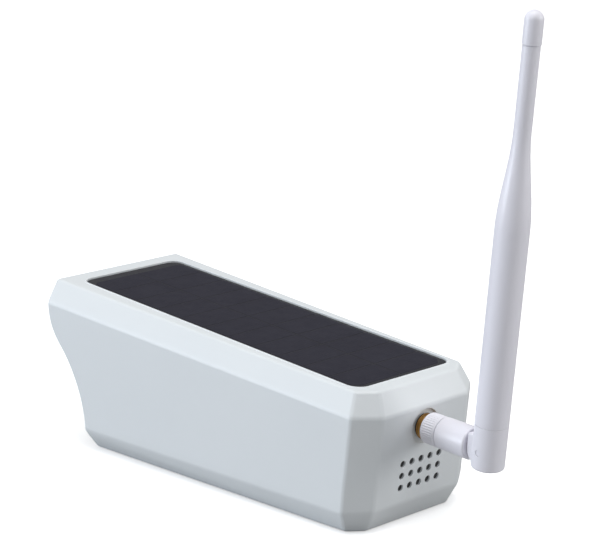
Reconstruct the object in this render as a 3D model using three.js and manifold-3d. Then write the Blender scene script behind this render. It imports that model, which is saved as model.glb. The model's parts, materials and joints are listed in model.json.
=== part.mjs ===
// A solar-powered outdoor camera: a long faceted housing with a hooded front, a solar panel let into
// its sloping top, a loudspeaker behind a grid of holes in its rear face, and a hinged whip antenna.
// Millimetres. +Z is up, the lens looks along -Y, the antenna is at the +Y end. The origin is the
// middle of the flat underside, halfway along the housing.
import * as THREE from "three";
import { ConvexGeometry } from "three/addons/geometries/ConvexGeometry.js";
import { mergeVertices } from "three/addons/utils/BufferGeometryUtils.js";
import Module from "manifold-3d";

const wasm = await Module();
wasm.setup();

// ---------------------------------------------------------------- driving dimensions

const GAP = 0.3; // between pieces that touch or slide
const SUNK = 0.5; // how far a part that is joined on is let into its wall

// Housing. "Along" is the distance from the housing's rearmost plane towards the front.
const BODY_LENGTH = 186;
const REAR_HEIGHT = 56.6;
const FRONT_HEIGHT = 70.7;
const CROWN_HALF = { rear: 28.7, front: 33.4 }; // half the flat top's width
const SIDE_HALF = { rear: 33.2, front: 39.4 }; // half the width between the upright sides
const SOLE_HALF = { rear: 28.4, front: 32.4 }; // half the flat underside's width
const TOP_BEVEL = 8.9; // height of the sloping band under the top
const SOLE_BEVEL = 9.3; // height of the sloping band above the underside
const REAR_LEAN = 5.1; // how far the rear face's foot stands in from its head
const CROWN_SETBACK = 4.3; // from the rear face's head to the flat top's edge
const SOLE_SETBACK = 10.5; // from the rear face's head to the underside's edge
const CORNER_ALONG = 7.7; // the upright corner facet, measured along the side
const CORNER_ACROSS = 9.7; // and across the rear face
const CROWN_CORNER = { along: 5.5, across: 7.5 };
const SOLE_CORNER = { along: 5.3, across: 6.2 };
const WALL = 2.4;
const DECK = 4.8; // thickness of the top, which holds the panel recess
const HOOD_REACH = 22.2; // how far the hood's tip stands ahead of the sides' foot
const HOOD_TIP_RAKE = 0.6;

// Solar panel
const PANEL_HALF_WIDTH = 26;
const PANEL_REAR = 11.2; // along
const PANEL_FRONT_MARGIN = 8.2; // from the panel's front edge to the hood's tip
const PANEL_CORNER = 5.5;
const PANEL_SUNK = 0.4;
const LAMINATE_THICK = 0.8;
const BACKING_THICK = 1.0;
const LEAD_HOLE_RADIUS = 2;

// Faceplate and what it carries
const FACE_SETBACK = 30; // from the hood's tip to the faceplate's front face
const FACE_THICK = 2.5;
const GASKET_THICK = 1.5;
const SEAT_THICK = 2.5;
const SEAT_LEDGE = 3;
const LENS_HEIGHT = 41;
const WINDOW_RADIUS = 14.5;
const WINDOW_THICK = 1.6;
const LENS_RADIUS = 7;
const LENS_LENGTH = 12;
const PIR_HEIGHT = 15;
const PIR_RADIUS = 9.5;
const LED_RADIUS = 2.5;
const LED_OFFSET = { across: 20, up: 12 };
const SENSOR_BOARD = { across: 24, foot: 8, margin: 4 };
const IMAGE_BOARD_HALF = 17;
const INDICATOR_RADIUS = 1.5;
const INDICATOR_PLACE = { across: 21, height: 15 };
const FACE_SCREW = { across: 26, low: 9.5, high: 55 };

// Chassis, cells and boards
const CHASSIS_DECK_HEIGHT = 15.5;
const CHASSIS_THICK = 2;
const CHASSIS_HALF_WIDTH = 27;
const CHASSIS_REAR = 30; // along
const BULKHEAD_TOP = 58;
const BULKHEAD_POST = { across: 21.5, up: 13.5 };
const CELL_RADIUS = 9.2;
const CELL_LENGTH = 65;
const CELL_REAR = 42; // along
const CELL_SPACING = 20;
const BOARD_THICK = 1.6;
const MAIN_BOARD_HALF_WIDTH = 24;
const MAIN_BOARD_REAR = 34; // along
const MAIN_BOARD_LENGTH = 92;
const MAIN_BOARD_HEIGHT = 43;
const POST_RADIUS = 2.4;
const SCREW_PLACE = { across: 21, rear: 36, front: 137 };
const SCREW = { head: 2.8, headThick: 1.2, shank: 1.2, length: 9 };
const LEG_RADIUS = 3.6;

// Loudspeaker
const SOUND_HOLE_RADIUS = 1.4;
const SOUND_PITCH = 5;
const SOUND_COLUMNS = 5;
const SOUND_ROWS = 3;
const SOUND_HEIGHT = 21.2; // the middle row
const SPEAKER_HALF = { across: 16, up: 8.7 };
const SPEAKER_THICK = 3;
const SPEAKER_GASKET = { thick: 0.8, rim: 1.6 };
const SPEAKER_MAGNET = { radius: 7, thick: 3 };

// Underside: stand thread and port bay
const INSERT_Y = 14;
const INSERT_RADIUS = 5.5;
const INSERT_BORE = 3.2;
const INSERT_DEPTH = 9;
const INSERT_WALL = 2;
const INSERT_ROOF = 1.5;
const BAY_Y = -30;
const BAY_HALF = { across: 14, along: 5.5 };
const BAY_DEPTH = 12;
const BAY_WALL = 1.6;
const COVER_REBATE = { margin: 3, deep: 1.8 };
const COVER_THICK = 1.2;
const COVER_LIP = { inset: 0.6, wall: 1.2, height: 2 };
const BUTTON = { radius: 1.1, length: 2.6, travel: 0.5 };

// Antenna. Its own axis runs out of the rear face, tipped a little down.
const JACK_HEIGHT = 39.4;
const JACK_DIP = THREE.MathUtils.degToRad(2.9);
const WHIP_LEAN = THREE.MathUtils.degToRad(3.4); // back from square to the connector
const JACK_SEAT_RADIUS = 7;
const JACK_SEAT_SUNK = 0.9;
const JACK_BOSS = { wall: 1.6, thick: 3 };
const JACK_RADIUS = 3.1;
const JACK_TAIL = { radius: 1.5, start: 5, end: 8 }; // the cable pin, behind the boss
const JACK_SOCKET = { radius: 1.8, depth: 3 };
const JACK_FLANGE = { radius: 5.2, thick: 1.6 };
const JACK_SEAL_THICK = 0.6;
const JACK_WASHER = { radius: 5.4, thick: 0.6 };
const JACK_NUT = { radius: 4.6, thick: 2 };
const JACK_ENTRY = 4.2; // how far the jack reaches into the coupling nut
const NUT_START = 3.7;
const NUT_LENGTH = 7;
const NUT_RADIUS = 6.15;
const NUT_CORE_RADIUS = 5.1;
const PLUG_CORE = { radius: 2.9, entry: 6 };
const ELBOW_RADIUS = { start: 6.25, end: 6.4 };
const ELBOW_EDGE = 0.5;
const HINGE_REACH = 33.5; // from the jack's seat to the hinge pin
const KNUCKLE_RADIUS = 7.2; // and how far the foot lies under the pin
const ELBOW_CLEAR = 0.5; // between the knuckle and the elbow's end
const KNUCKLE_HALF_WIDTH = 4.5;
const KNUCKLE_TOP = 5.3;
const TONGUE = { halfWidth: 1.8, radius: 4.4 };
const PIN_RADIUS = 1.2;
const PIN_SUNK = 0.4;
const FOOT_EDGE = 1;
const WHIP_RADIUS = 6.45;
const WHIP_BASE_TOP = 10.1; // above the pin
const WHIP_SHOULDER = 85.2; // where the taper starts
const WHIP_NECK = 122; // where it ends
const WHIP_NECK_RADIUS = 3.28;
const CAP_FOOT = 152.7;
const WHIP_TOP = 165;
const CAP_RADIUS = 3.48;
const WHIP_BORE = 1.9;
const RADIATOR = { start: 12, tube: 60, wire: 0.7, margin: 10 };

// ---------------------------------------------------------------- materials

const material = (color, roughness, metalness = 0) =>
  new THREE.MeshStandardMaterial({ color, roughness, metalness });

const WHITE_SHELL = () => material(0xdde3e8, 0.5);
const WHITE_PLASTIC = () => material(0xdcdae4, 0.42);
const BLACK_GLOSS = () => material(0x0b0b0d, 0.12);
const BLACK_PLASTIC = () => material(0x1a1a1c, 0.55);
const SOLAR = () => material(0x33323c, 0.45);
const BACKING = () => material(0x1d2b22, 0.7);
const RUBBER = () => material(0x1b1c1e, 0.85);
const SILICONE = () => material(0xc9cdd1, 0.8);
const GLASS = () => material(0x8f9aa6, 0.05);
const MILKY = () => material(0xe9e9e6, 0.5);
const CLEAR_LED = () => material(0x5a4a55, 0.15);
const BRASS = () => material(0xb58a3e, 0.3, 1);
const STEEL = () => material(0xb4b7ba, 0.3, 1);
const BOARD = () => material(0x12402c, 0.6);
const CELL_WRAP = () => material(0x2f6f9f, 0.4);
const CONE_PAPER = () => material(0x2a2725, 0.9);

// ---------------------------------------------------------------- solids

// A closed geometry as a manifold-3d solid, and back again.
function solid(geometry) {
  const bare = geometry.clone();
  for (const name of Object.keys(bare.attributes)) {
    if (name !== "position") bare.deleteAttribute(name);
  }
  const merged = mergeVertices(bare, 1e-4);
  return new wasm.Manifold(
    new wasm.Mesh({
      numProp: 3,
      vertProperties: merged.getAttribute("position").array,
      triVerts: new Uint32Array(merged.index.array),
    }),
  );
}

function geometryOf(made) {
  const mesh = made.getMesh();
  const geometry = new THREE.BufferGeometry();
  geometry.setAttribute("position", new THREE.BufferAttribute(mesh.vertProperties, 3));
  geometry.setIndex(new THREE.BufferAttribute(mesh.triVerts, 1));
  geometry.computeVertexNormals();
  return geometry;
}

const join = (first, ...others) => others.reduce((all, one) => all.add(one), first);
const cut = (first, ...others) => others.reduce((all, one) => all.subtract(one), first);

// A block between two opposite corners.
function block([x0, y0, z0], [x1, y1, z1]) {
  const box = new THREE.BoxGeometry(x1 - x0, y1 - y0, z1 - z0);
  return solid(box.translate((x0 + x1) / 2, (y0 + y1) / 2, (z0 + z1) / 2));
}

// A solid of revolution about Z from [radius, height] points that start and end on the axis.
function turned(profile, sides = 24) {
  const points = profile.map(([radius, height]) => new THREE.Vector2(radius, height));
  return solid(new THREE.LatheGeometry(points, sides).rotateX(Math.PI / 2));
}

// A rod from height "low" to height "high" along Z.
const rod = (radius, low, high, sides = 24) =>
  turned([[0, low], [radius, low], [radius, high], [0, high]], sides);

// A ring between two radii.
const ring = (inner, outer, low, high, sides = 24) =>
  turned([[inner, low], [outer, low], [outer, high], [inner, high], [inner, low]], sides);

// Turns a solid's geometry by a matrix.
function moved(made, matrix) {
  return solid(geometryOf(made).applyMatrix4(matrix));
}

const at = (x, y, z) => new THREE.Matrix4().makeTranslation(x, y, z);
const TO_FRONT = new THREE.Matrix4().makeRotationX(Math.PI / 2); // +Z becomes -Y
const TO_SIDE = new THREE.Matrix4().makeRotationY(Math.PI / 2); // +Z becomes +X

// A solid that faces forward from a point: its own +Z points along -Y.
const facing = (made, x, y, z) => moved(made, at(x, y, z).multiply(TO_FRONT));

// ---------------------------------------------------------------- the housing's outline

const rearY = BODY_LENGTH / 2;
const yAt = (along) => rearY - along;
const between = (ends, along) => ends.rear + ((ends.front - ends.rear) * along) / BODY_LENGTH;
const crownHeight = (along) => between({ rear: REAR_HEIGHT, front: FRONT_HEIGHT }, along);
const topSlope = Math.atan((FRONT_HEIGHT - REAR_HEIGHT) / BODY_LENGTH);
const faceSpan = REAR_HEIGHT - TOP_BEVEL - SOLE_BEVEL;
const rearTilt = Math.atan(REAR_LEAN / faceSpan);
const faceAlong = (height) => (REAR_LEAN * (REAR_HEIGHT - TOP_BEVEL - height)) / faceSpan;

// The four level rings that the facets run between, each shrunk by a wall thickness.
function rings(wall, deck) {
  const half = (ends) => (along) => between(ends, along) - wall;
  return [
    {
      height: (along) => crownHeight(along) - deck,
      half: half(CROWN_HALF),
      rear: CROWN_SETBACK + wall,
      ...CROWN_CORNER,
    },
    {
      height: (along) => crownHeight(along) - TOP_BEVEL - wall / 3,
      half: half(SIDE_HALF),
      rear: wall,
      along: CORNER_ALONG,
      across: CORNER_ACROSS,
    },
    {
      height: () => SOLE_BEVEL + wall / 3,
      half: half(SIDE_HALF),
      rear: REAR_LEAN + wall,
      along: CORNER_ALONG,
      across: CORNER_ACROSS,
    },
    { height: () => wall, half: half(SOLE_HALF), rear: SOLE_SETBACK + wall, ...SOLE_CORNER },
  ];
}

// The convex body from the rear facets to a distance along the housing.
function facetedBody(wall, deck, front) {
  const points = [];
  for (const level of rings(wall, deck)) {
    const corner = level.rear + level.along;
    for (const side of [-1, 1]) {
      const corners = [
        [level.half(front), front],
        [level.half(corner), corner],
        [level.half(level.rear) - level.across, level.rear],
      ];
      for (const [x, along] of corners) {
        points.push(new THREE.Vector3(side * x, yAt(along), level.height(along)));
      }
    }
  }
  return solid(new ConvexGeometry(points));
}

// What the hood's edge leaves open: everything ahead of an S-shaped line seen from the side.
function hoodCutter() {
  const tip = BODY_LENGTH - HOOD_TIP_RAKE;
  const brow = crownHeight(BODY_LENGTH) - TOP_BEVEL;
  const point = (back, up) => [yAt(tip - back * HOOD_REACH), up * brow];
  const outline = new THREE.Shape();
  outline.moveTo(yAt(BODY_LENGTH), crownHeight(BODY_LENGTH) + 1);
  outline.lineTo(...point(0, 1));
  outline.bezierCurveTo(...point(0, 0.85), ...point(0.126, 0.78), ...point(0.378, 0.683));
  outline.bezierCurveTo(...point(0.667, 0.57), ...point(0.99, 0.356), ...point(1, 0.13));
  outline.lineTo(...point(1, -0.1));
  outline.lineTo(yAt(BODY_LENGTH + 20), -0.1 * brow);
  outline.lineTo(yAt(BODY_LENGTH + 20), crownHeight(BODY_LENGTH) + 1);
  const width = 2 * SIDE_HALF.front + 10;
  const across = new THREE.ExtrudeGeometry(outline, {
    depth: width,
    bevelEnabled: false,
    curveSegments: 9,
  });
  // The outline's own x and y become Y and Z, and its depth becomes X.
  across.applyMatrix4(
    new THREE.Matrix4().set(0, 0, 1, -width / 2, 1, 0, 0, 0, 0, 1, 0, 0, 0, 0, 0, 1),
  );
  return solid(across);
}

// A plate with round corners in the plane of the sloping top, between two depths under it.
function panelPlate(grow, top, bottom) {
  const half = PANEL_HALF_WIDTH + grow;
  const slant = 1 / Math.cos(topSlope);
  const low = -(BODY_LENGTH - PANEL_FRONT_MARGIN - PANEL_REAR) * slant - grow;
  const high = grow;
  const r = PANEL_CORNER + grow;
  const outline = new THREE.Shape();
  outline.moveTo(-half + r, low);
  outline.lineTo(half - r, low);
  outline.absarc(half - r, low + r, r, -Math.PI / 2, 0);
  outline.absarc(half - r, high - r, r, 0, Math.PI / 2);
  outline.absarc(-half + r, high - r, r, Math.PI / 2, Math.PI);
  outline.absarc(-half + r, low + r, r, Math.PI, Math.PI * 1.5);
  const plate = new THREE.ExtrudeGeometry(outline, {
    depth: bottom - top,
    bevelEnabled: false,
    curveSegments: 5,
  });
  plate.translate(0, 0, -bottom);
  plate.rotateX(-topSlope);
  return solid(plate.translate(0, yAt(PANEL_REAR), crownHeight(PANEL_REAR)));
}

// ---------------------------------------------------------------- frames on the rear face

const jackSeat = new THREE.Matrix4()
  .makeTranslation(0, yAt(faceAlong(JACK_HEIGHT) + JACK_SEAT_SUNK), JACK_HEIGHT)
  .multiply(new THREE.Matrix4().makeRotationX(-Math.PI / 2 - JACK_DIP));
const speakerSeat = new THREE.Matrix4()
  .makeTranslation(0, yAt(faceAlong(SOUND_HEIGHT) + WALL), SOUND_HEIGHT)
  .multiply(new THREE.Matrix4().makeRotationX(-Math.PI / 2 - rearTilt));

// ---------------------------------------------------------------- shared sizes

const frontLeg = yAt(SCREW_PLACE.front);
const plateAlong = BODY_LENGTH - FACE_SETBACK;
const faceY = yAt(plateAlong);
const faceBackY = faceY + FACE_THICK;
const gasketY = faceBackY + GAP;
const seatY = gasketY + GASKET_THICK + GAP;
const panelStack = PANEL_SUNK + LAMINATE_THICK + GAP + BACKING_THICK;
const coverHalf = {
  across: BAY_HALF.across + COVER_REBATE.margin,
  along: BAY_HALF.along + COVER_REBATE.margin,
};
// Depths behind the faceplate's front, along the lens's own axis
const boardFront = -FACE_THICK - 2 * GAP - GASKET_THICK - SEAT_THICK - 1;
const lensFront = -WINDOW_THICK - 1.5;
const lensBack = lensFront - LENS_LENGTH;
const holderBack = lensBack - 3;
const bulkheadFront = holderBack - 2 * GAP - BOARD_THICK;
const bulkheadY = faceY - bulkheadFront;
const chassisScrewPlaces = [];
for (const y of [yAt(SCREW_PLACE.rear), frontLeg]) {
  for (const x of [-SCREW_PLACE.across, SCREW_PLACE.across]) chassisScrewPlaces.push([x, y]);
}
const faceScrewPlaces = [];
for (const z of [FACE_SCREW.low, FACE_SCREW.high]) {
  for (const x of [-FACE_SCREW.across, FACE_SCREW.across]) faceScrewPlaces.push([x, z]);
}
const ledPlaces = [];
for (const up of [-LED_OFFSET.up, LED_OFFSET.up]) {
  for (const across of [-LED_OFFSET.across, LED_OFFSET.across]) {
    ledPlaces.push([across, LENS_HEIGHT + up]);
  }
}

// ---------------------------------------------------------------- the scene graph

const camera = new THREE.Group();
const antenna = new THREE.Group();
const whip = new THREE.Group();
camera.add(antenna);
antenna.add(whip);

function addNode(parent, name, made, finish) {
  const mesh = new THREE.Mesh(geometryOf(made), finish());
  mesh.name = name;
  parent.add(mesh);
}

// ---------------------------------------------------------------- housing

function housingShell() {
  const longer = BODY_LENGTH + 12;
  const hollow = facetedBody(WALL, DECK, longer);
  const seatBand = facetedBody(WALL - 0.6, DECK - 0.6, plateAlong + 10).intersect(
    block([-60, seatY, 0], [60, seatY + SEAT_THICK, 90]),
  );
  const seatHole = facetedBody(WALL + SEAT_LEDGE, DECK + SEAT_LEDGE, longer);
  const boss = moved(
    rod(JACK_SEAT_RADIUS + JACK_BOSS.wall, -JACK_BOSS.thick, 1.4 * JACK_SEAT_SUNK),
    jackSeat,
  ).intersect(facetedBody(WALL / 2, DECK, BODY_LENGTH));
  const insertBoss = moved(
    rod(INSERT_RADIUS + GAP + INSERT_WALL, WALL - SUNK, INSERT_DEPTH + GAP + INSERT_ROOF),
    at(0, INSERT_Y, 0),
  );
  const { across, along } = BAY_HALF;
  const collar = block(
    [-across - BAY_WALL, BAY_Y - along - BAY_WALL, WALL - SUNK],
    [across + BAY_WALL, BAY_Y + along + BAY_WALL, BAY_DEPTH],
  );

  let shell = cut(facetedBody(0, 0, BODY_LENGTH), hollow);
  shell = join(shell, cut(seatBand, seatHole), boss, insertBoss, collar);
  shell = cut(shell, hoodCutter(), panelPlate(GAP, -5, panelStack + GAP));
  const leadHole = rod(LEAD_HOLE_RADIUS, -20, 20, 12);
  const leadAlong = PANEL_REAR + 16;
  shell = cut(shell, moved(leadHole, at(0, yAt(leadAlong), crownHeight(leadAlong))));

  // Stand thread, port bay and screw holes in the underside
  shell = cut(
    shell,
    moved(rod(INSERT_RADIUS + GAP, -1, INSERT_DEPTH + GAP), at(0, INSERT_Y, 0)),
    block(
      [-across, BAY_Y - along, -1],
      [across, BAY_Y + along, BAY_DEPTH + 1],
    ),
    block(
      [-coverHalf.across, BAY_Y - coverHalf.along, -1],
      [coverHalf.across, BAY_Y + coverHalf.along, COVER_REBATE.deep],
    ),
  );
  for (const [x, y] of chassisScrewPlaces) {
    const head = rod(SCREW.head + GAP, -1, SCREW.headThick + GAP, 16);
    const shank = rod(SCREW.shank + GAP, 0, WALL + 2, 16);
    shell = cut(shell, moved(join(head, shank), at(x, y, 0)));
  }

  // Jack seat and sound holes in the rear face
  shell = cut(
    shell,
    moved(rod(JACK_SEAT_RADIUS, 0, 20, 32), jackSeat),
    moved(rod(JACK_RADIUS + GAP, -20, 5), jackSeat),
  );
  for (let row = 0; row < SOUND_ROWS; row += 1) {
    for (let column = 0; column < SOUND_COLUMNS; column += 1) {
      const x = (column - (SOUND_COLUMNS - 1) / 2) * SOUND_PITCH;
      const up = (row - (SOUND_ROWS - 1) / 2) * SOUND_PITCH;
      const hole = moved(rod(SOUND_HOLE_RADIUS, -2 * WALL, 2 * WALL, 12), at(x, up, 0));
      shell = cut(shell, moved(hole, speakerSeat));
    }
  }
  for (const [x, z] of faceScrewPlaces) {
    const pilot = rod(SCREW.shank + GAP, -SEAT_THICK - 1, 1, 12);
    shell = cut(shell, facing(pilot, x, seatY, z));
  }
  return shell;
}

function addHousing() {
  addNode(camera, "housing_shell", housingShell(), WHITE_SHELL);
  const laminateFoot = PANEL_SUNK + LAMINATE_THICK;
  addNode(camera, "solar_laminate", panelPlate(0, PANEL_SUNK, laminateFoot), SOLAR);
  const backing = panelPlate(-0.5, laminateFoot + GAP, laminateFoot + GAP + BACKING_THICK);
  addNode(camera, "panel_backing", backing, BACKING);
  addNode(
    camera,
    "tripod_insert",
    moved(ring(INSERT_BORE, INSERT_RADIUS, 0, INSERT_DEPTH), at(0, INSERT_Y, 0)),
    BRASS,
  );
  chassisScrewPlaces.forEach(([x, y], index) => {
    const screw = turned(
      [
        [0, GAP],
        [SCREW.head, GAP],
        [SCREW.head, SCREW.headThick],
        [SCREW.shank, SCREW.headThick],
        [SCREW.shank, SCREW.length],
        [0, SCREW.length],
      ],
      12,
    );
    addNode(camera, `chassis_screw_${index + 1}`, moved(screw, at(x, y, 0)), STEEL);
  });
}

// ---------------------------------------------------------------- faceplate and sensors

function addFace() {
  const section = (wall, deck, back, front) =>
    facetedBody(wall, deck, BODY_LENGTH).intersect(block([-60, front, 0], [60, back, 90]));
  const holes = [
    facing(rod(WINDOW_RADIUS - 1.5, -5, 5, 32), 0, faceY, LENS_HEIGHT),
    facing(rod(WINDOW_RADIUS + GAP, -WINDOW_THICK - GAP, 5, 32), 0, faceY, LENS_HEIGHT),
    facing(rod(PIR_RADIUS + GAP, -5, 5, 24), 0, faceY, PIR_HEIGHT),
  ];
  for (const [x, z] of ledPlaces) {
    holes.push(facing(rod(LED_RADIUS + GAP, -5, 5, 12), x, faceY, z));
  }
  for (const side of [-1, 1]) {
    const x = side * INDICATOR_PLACE.across;
    holes.push(
      facing(rod(INDICATOR_RADIUS + GAP, -5, 5, 12), x, faceY, INDICATOR_PLACE.height),
    );
  }
  for (const [x, z] of faceScrewPlaces) {
    holes.push(facing(rod(SCREW.shank + GAP, -5, 5, 12), x, faceY, z));
    holes.push(facing(rod(2.3 + GAP, -1.3, 5, 12), x, faceY, z));
  }
  const plate = section(WALL + GAP, DECK + GAP, faceBackY, faceY);
  addNode(camera, "faceplate", cut(plate, ...holes), BLACK_GLOSS);

  const inner = facetedBody(WALL + SEAT_LEDGE, DECK + SEAT_LEDGE, BODY_LENGTH);
  let gasket = cut(
    section(WALL + GAP, DECK + GAP, gasketY + GASKET_THICK, gasketY),
    inner,
  );
  for (const [x, z] of faceScrewPlaces) {
    gasket = cut(gasket, facing(rod(SCREW.shank + GAP, -5, 5, 12), x, gasketY, z));
  }
  addNode(camera, "faceplate_gasket", gasket, RUBBER);

  faceScrewPlaces.forEach(([x, z], index) => {
    const screw = turned(
      [[0, -SCREW.length], [SCREW.shank, -SCREW.length], [SCREW.shank, -1], [2.3, -1], [2.3, 0], [0, 0]],
      12,
    );
    addNode(camera, `face_screw_${index + 1}`, facing(screw, x, faceY, z), STEEL);
  });

  addNode(
    camera,
    "lens_window",
    facing(rod(WINDOW_RADIUS, -WINDOW_THICK, 0, 32), 0, faceY, LENS_HEIGHT),
    GLASS,
  );
  addNode(
    camera,
    "lens_barrel",
    facing(
      turned([
        [0, lensBack],
        [LENS_RADIUS - 1, lensBack],
        [LENS_RADIUS - 1, lensFront - 5],
        [LENS_RADIUS, lensFront - 5],
        [LENS_RADIUS, lensFront],
        [LENS_RADIUS - 1.5, lensFront],
        [LENS_RADIUS - 3, lensFront - 1.5],
        [0, lensFront - 1],
      ]),
      0,
      faceY,
      LENS_HEIGHT,
    ),
    BLACK_PLASTIC,
  );
  const mount = (low, high, half) => block([-half, -half, low], [half, half, high]);
  const lensHolder = cut(
    mount(holderBack, boardFront - BOARD_THICK - GAP, LENS_RADIUS + 2),
    rod(LENS_RADIUS - 1 + GAP, lensBack - GAP, 0),
  );
  addNode(camera, "lens_holder", facing(lensHolder, 0, faceY, LENS_HEIGHT), BLACK_PLASTIC);
  const imageBoard = mount(holderBack - GAP - BOARD_THICK, holderBack - GAP, IMAGE_BOARD_HALF);
  addNode(camera, "camera_board", facing(imageBoard, 0, faceY, LENS_HEIGHT), BOARD);

  // The sensor board stands behind the faceplate, with the lens passing through it.
  let sensorBoard = block(
    [-SENSOR_BOARD.across, SENSOR_BOARD.foot - LENS_HEIGHT, boardFront - BOARD_THICK],
    [SENSOR_BOARD.across, LED_OFFSET.up + SENSOR_BOARD.margin, boardFront],
  );
  sensorBoard = cut(sensorBoard, rod(LENS_RADIUS + 3.5, boardFront - 5, 0, 24));
  addNode(camera, "sensor_board", facing(sensorBoard, 0, faceY, LENS_HEIGHT), BOARD);
  ledPlaces.forEach(([x, z], index) => {
    const led = turned(
      [
        [0, boardFront + GAP],
        [LED_RADIUS, boardFront + GAP],
        [LED_RADIUS, -0.8],
        [0.7 * LED_RADIUS, 0.1],
        [0, 0.4],
      ],
      12,
    );
    addNode(camera, `infrared_led_${index + 1}`, facing(led, x, faceY, z), CLEAR_LED);
  });

  // Motion sensor: a milky dome with the sensor can behind it.
  const dome = [];
  for (let step = 0; step <= 6; step += 1) {
    const turn = (step * Math.PI) / 12;
    dome.push([PIR_RADIUS * Math.cos(turn), 1 + 7 * Math.sin(turn)]);
  }
  const skin = 1;
  const inside = [];
  for (let step = 6; step >= 0; step -= 1) {
    const turn = (step * Math.PI) / 12;
    inside.push([(PIR_RADIUS - skin) * Math.cos(turn), 1 + (7 - skin) * Math.sin(turn)]);
  }
  const foot = -FACE_THICK + GAP;
  const domeProfile = [
    [PIR_RADIUS - skin, foot],
    [PIR_RADIUS, foot],
    ...dome.slice(0, -1),
    [0, 8],
    [0, 8 - skin],
    ...inside.slice(1),
    [PIR_RADIUS - skin, foot],
  ];
  addNode(camera, "motion_dome", facing(turned(domeProfile), 0, faceY, PIR_HEIGHT), MILKY);
  addNode(
    camera,
    "motion_sensor",
    facing(rod(4.6, boardFront + GAP, -FACE_THICK), 0, faceY, PIR_HEIGHT),
    STEEL,
  );
  const pipe = rod(INDICATOR_RADIUS, boardFront + GAP, 0, 12);
  const left = facing(pipe, -INDICATOR_PLACE.across, faceY, INDICATOR_PLACE.height);
  const right = facing(pipe, INDICATOR_PLACE.across, faceY, INDICATOR_PLACE.height);
  addNode(camera, "status_light_pipe", left, MILKY);
  addNode(camera, "light_sensor", right, CLEAR_LED);
  const microphone = rod(2, boardFront + GAP, boardFront + GAP + 1.5, 12);
  const micX = -INDICATOR_PLACE.across + 5;
  const micZ = INDICATOR_PLACE.height + 6;
  addNode(camera, "microphone", facing(microphone, micX, faceY, micZ), STEEL);
}

// ---------------------------------------------------------------- chassis and electronics

function addChassis() {
  const low = CHASSIS_DECK_HEIGHT;
  const top = low + CHASSIS_THICK;
  const back = yAt(CHASSIS_REAR);
  const front = bulkheadY;
  let chassis = join(
    block([-CHASSIS_HALF_WIDTH, front, low], [CHASSIS_HALF_WIDTH, back, top]),
    block([-CHASSIS_HALF_WIDTH, front, low], [CHASSIS_HALF_WIDTH, front + CHASSIS_THICK, BULKHEAD_TOP]),
  );
  const postEnd = boardFront - BOARD_THICK - GAP;
  for (const up of [-BULKHEAD_POST.up, BULKHEAD_POST.up]) {
    for (const x of [-BULKHEAD_POST.across, BULKHEAD_POST.across]) {
      const post = rod(POST_RADIUS, bulkheadFront - 0.5, postEnd, 12);
      chassis = join(chassis, facing(post, x, faceY, LENS_HEIGHT + up));
    }
  }
  for (const [x, y] of chassisScrewPlaces) {
    const lug = block([x - LEG_RADIUS, y - LEG_RADIUS, low], [x + LEG_RADIUS, y + LEG_RADIUS, top]);
    const leg = moved(rod(LEG_RADIUS, WALL + GAP, low + 0.5, 16), at(x, y, 0));
    const bore = moved(rod(SCREW.shank + GAP, 0, SCREW.length + GAP, 12), at(x, y, 0));
    chassis = cut(join(chassis, lug, leg), bore);
  }
  const boardEnds = [MAIN_BOARD_REAR + 2.6, MAIN_BOARD_REAR + MAIN_BOARD_LENGTH - 2.6];
  const postX = MAIN_BOARD_HALF_WIDTH - 2.6;
  for (const along of boardEnds) {
    for (const x of [-postX, postX]) {
      const post = rod(POST_RADIUS, top - 0.5, MAIN_BOARD_HEIGHT - GAP, 12);
      chassis = join(chassis, moved(post, at(x, yAt(along), 0)));
    }
  }
  addNode(camera, "chassis", chassis, BLACK_PLASTIC);

  // Two cells side by side in a holder
  const holderFoot = top + GAP;
  const cellHeight = holderFoot + 1.5 + GAP + CELL_RADIUS;
  const cellFrontY = yAt(CELL_REAR + CELL_LENGTH);
  const cellRearY = yAt(CELL_REAR);
  const tray = cut(
    block([-19, cellFrontY - 3, holderFoot], [19, cellRearY + 3, cellHeight - 1]),
    block([-17.6, cellFrontY - GAP, holderFoot + 1.5], [17.6, cellRearY + GAP, 90]),
  );
  const trench = CELL_RADIUS + GAP;
  let holder = tray;
  for (const side of [-1, 1]) {
    const bed = facing(rod(trench, -CELL_LENGTH / 2 - GAP, CELL_LENGTH / 2 + GAP), 0, 0, 0);
    const x = (side * CELL_SPACING) / 2;
    const place = at(x, (cellFrontY + cellRearY) / 2, cellHeight);
    holder = cut(holder, moved(bed, place));
    const cell = turned([
      [0, -CELL_LENGTH / 2],
      [CELL_RADIUS, -CELL_LENGTH / 2],
      [CELL_RADIUS, CELL_LENGTH / 2 - 1.5],
      [3, CELL_LENGTH / 2 - 1.5],
      [3, CELL_LENGTH / 2],
      [0, CELL_LENGTH / 2],
    ]);
    const name = side < 0 ? "battery_cell_left" : "battery_cell_right";
    addNode(camera, name, moved(facing(cell, 0, 0, 0), place), CELL_WRAP);
  }
  addNode(camera, "battery_holder", holder, BLACK_PLASTIC);

  // Main board with its shielded radio module
  const mainRear = yAt(MAIN_BOARD_REAR);
  const mainFront = mainRear - MAIN_BOARD_LENGTH;
  const mainTop = MAIN_BOARD_HEIGHT + BOARD_THICK;
  addNode(
    camera,
    "main_board",
    block(
      [-MAIN_BOARD_HALF_WIDTH, mainFront, MAIN_BOARD_HEIGHT],
      [MAIN_BOARD_HALF_WIDTH, mainRear, mainTop],
    ),
    BOARD,
  );
  const radio = block([-12, mainRear - 42, mainTop + GAP], [16, mainRear - 12, mainTop + 3]);
  addNode(camera, "radio_module", radio, STEEL);
}

// ---------------------------------------------------------------- loudspeaker

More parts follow.
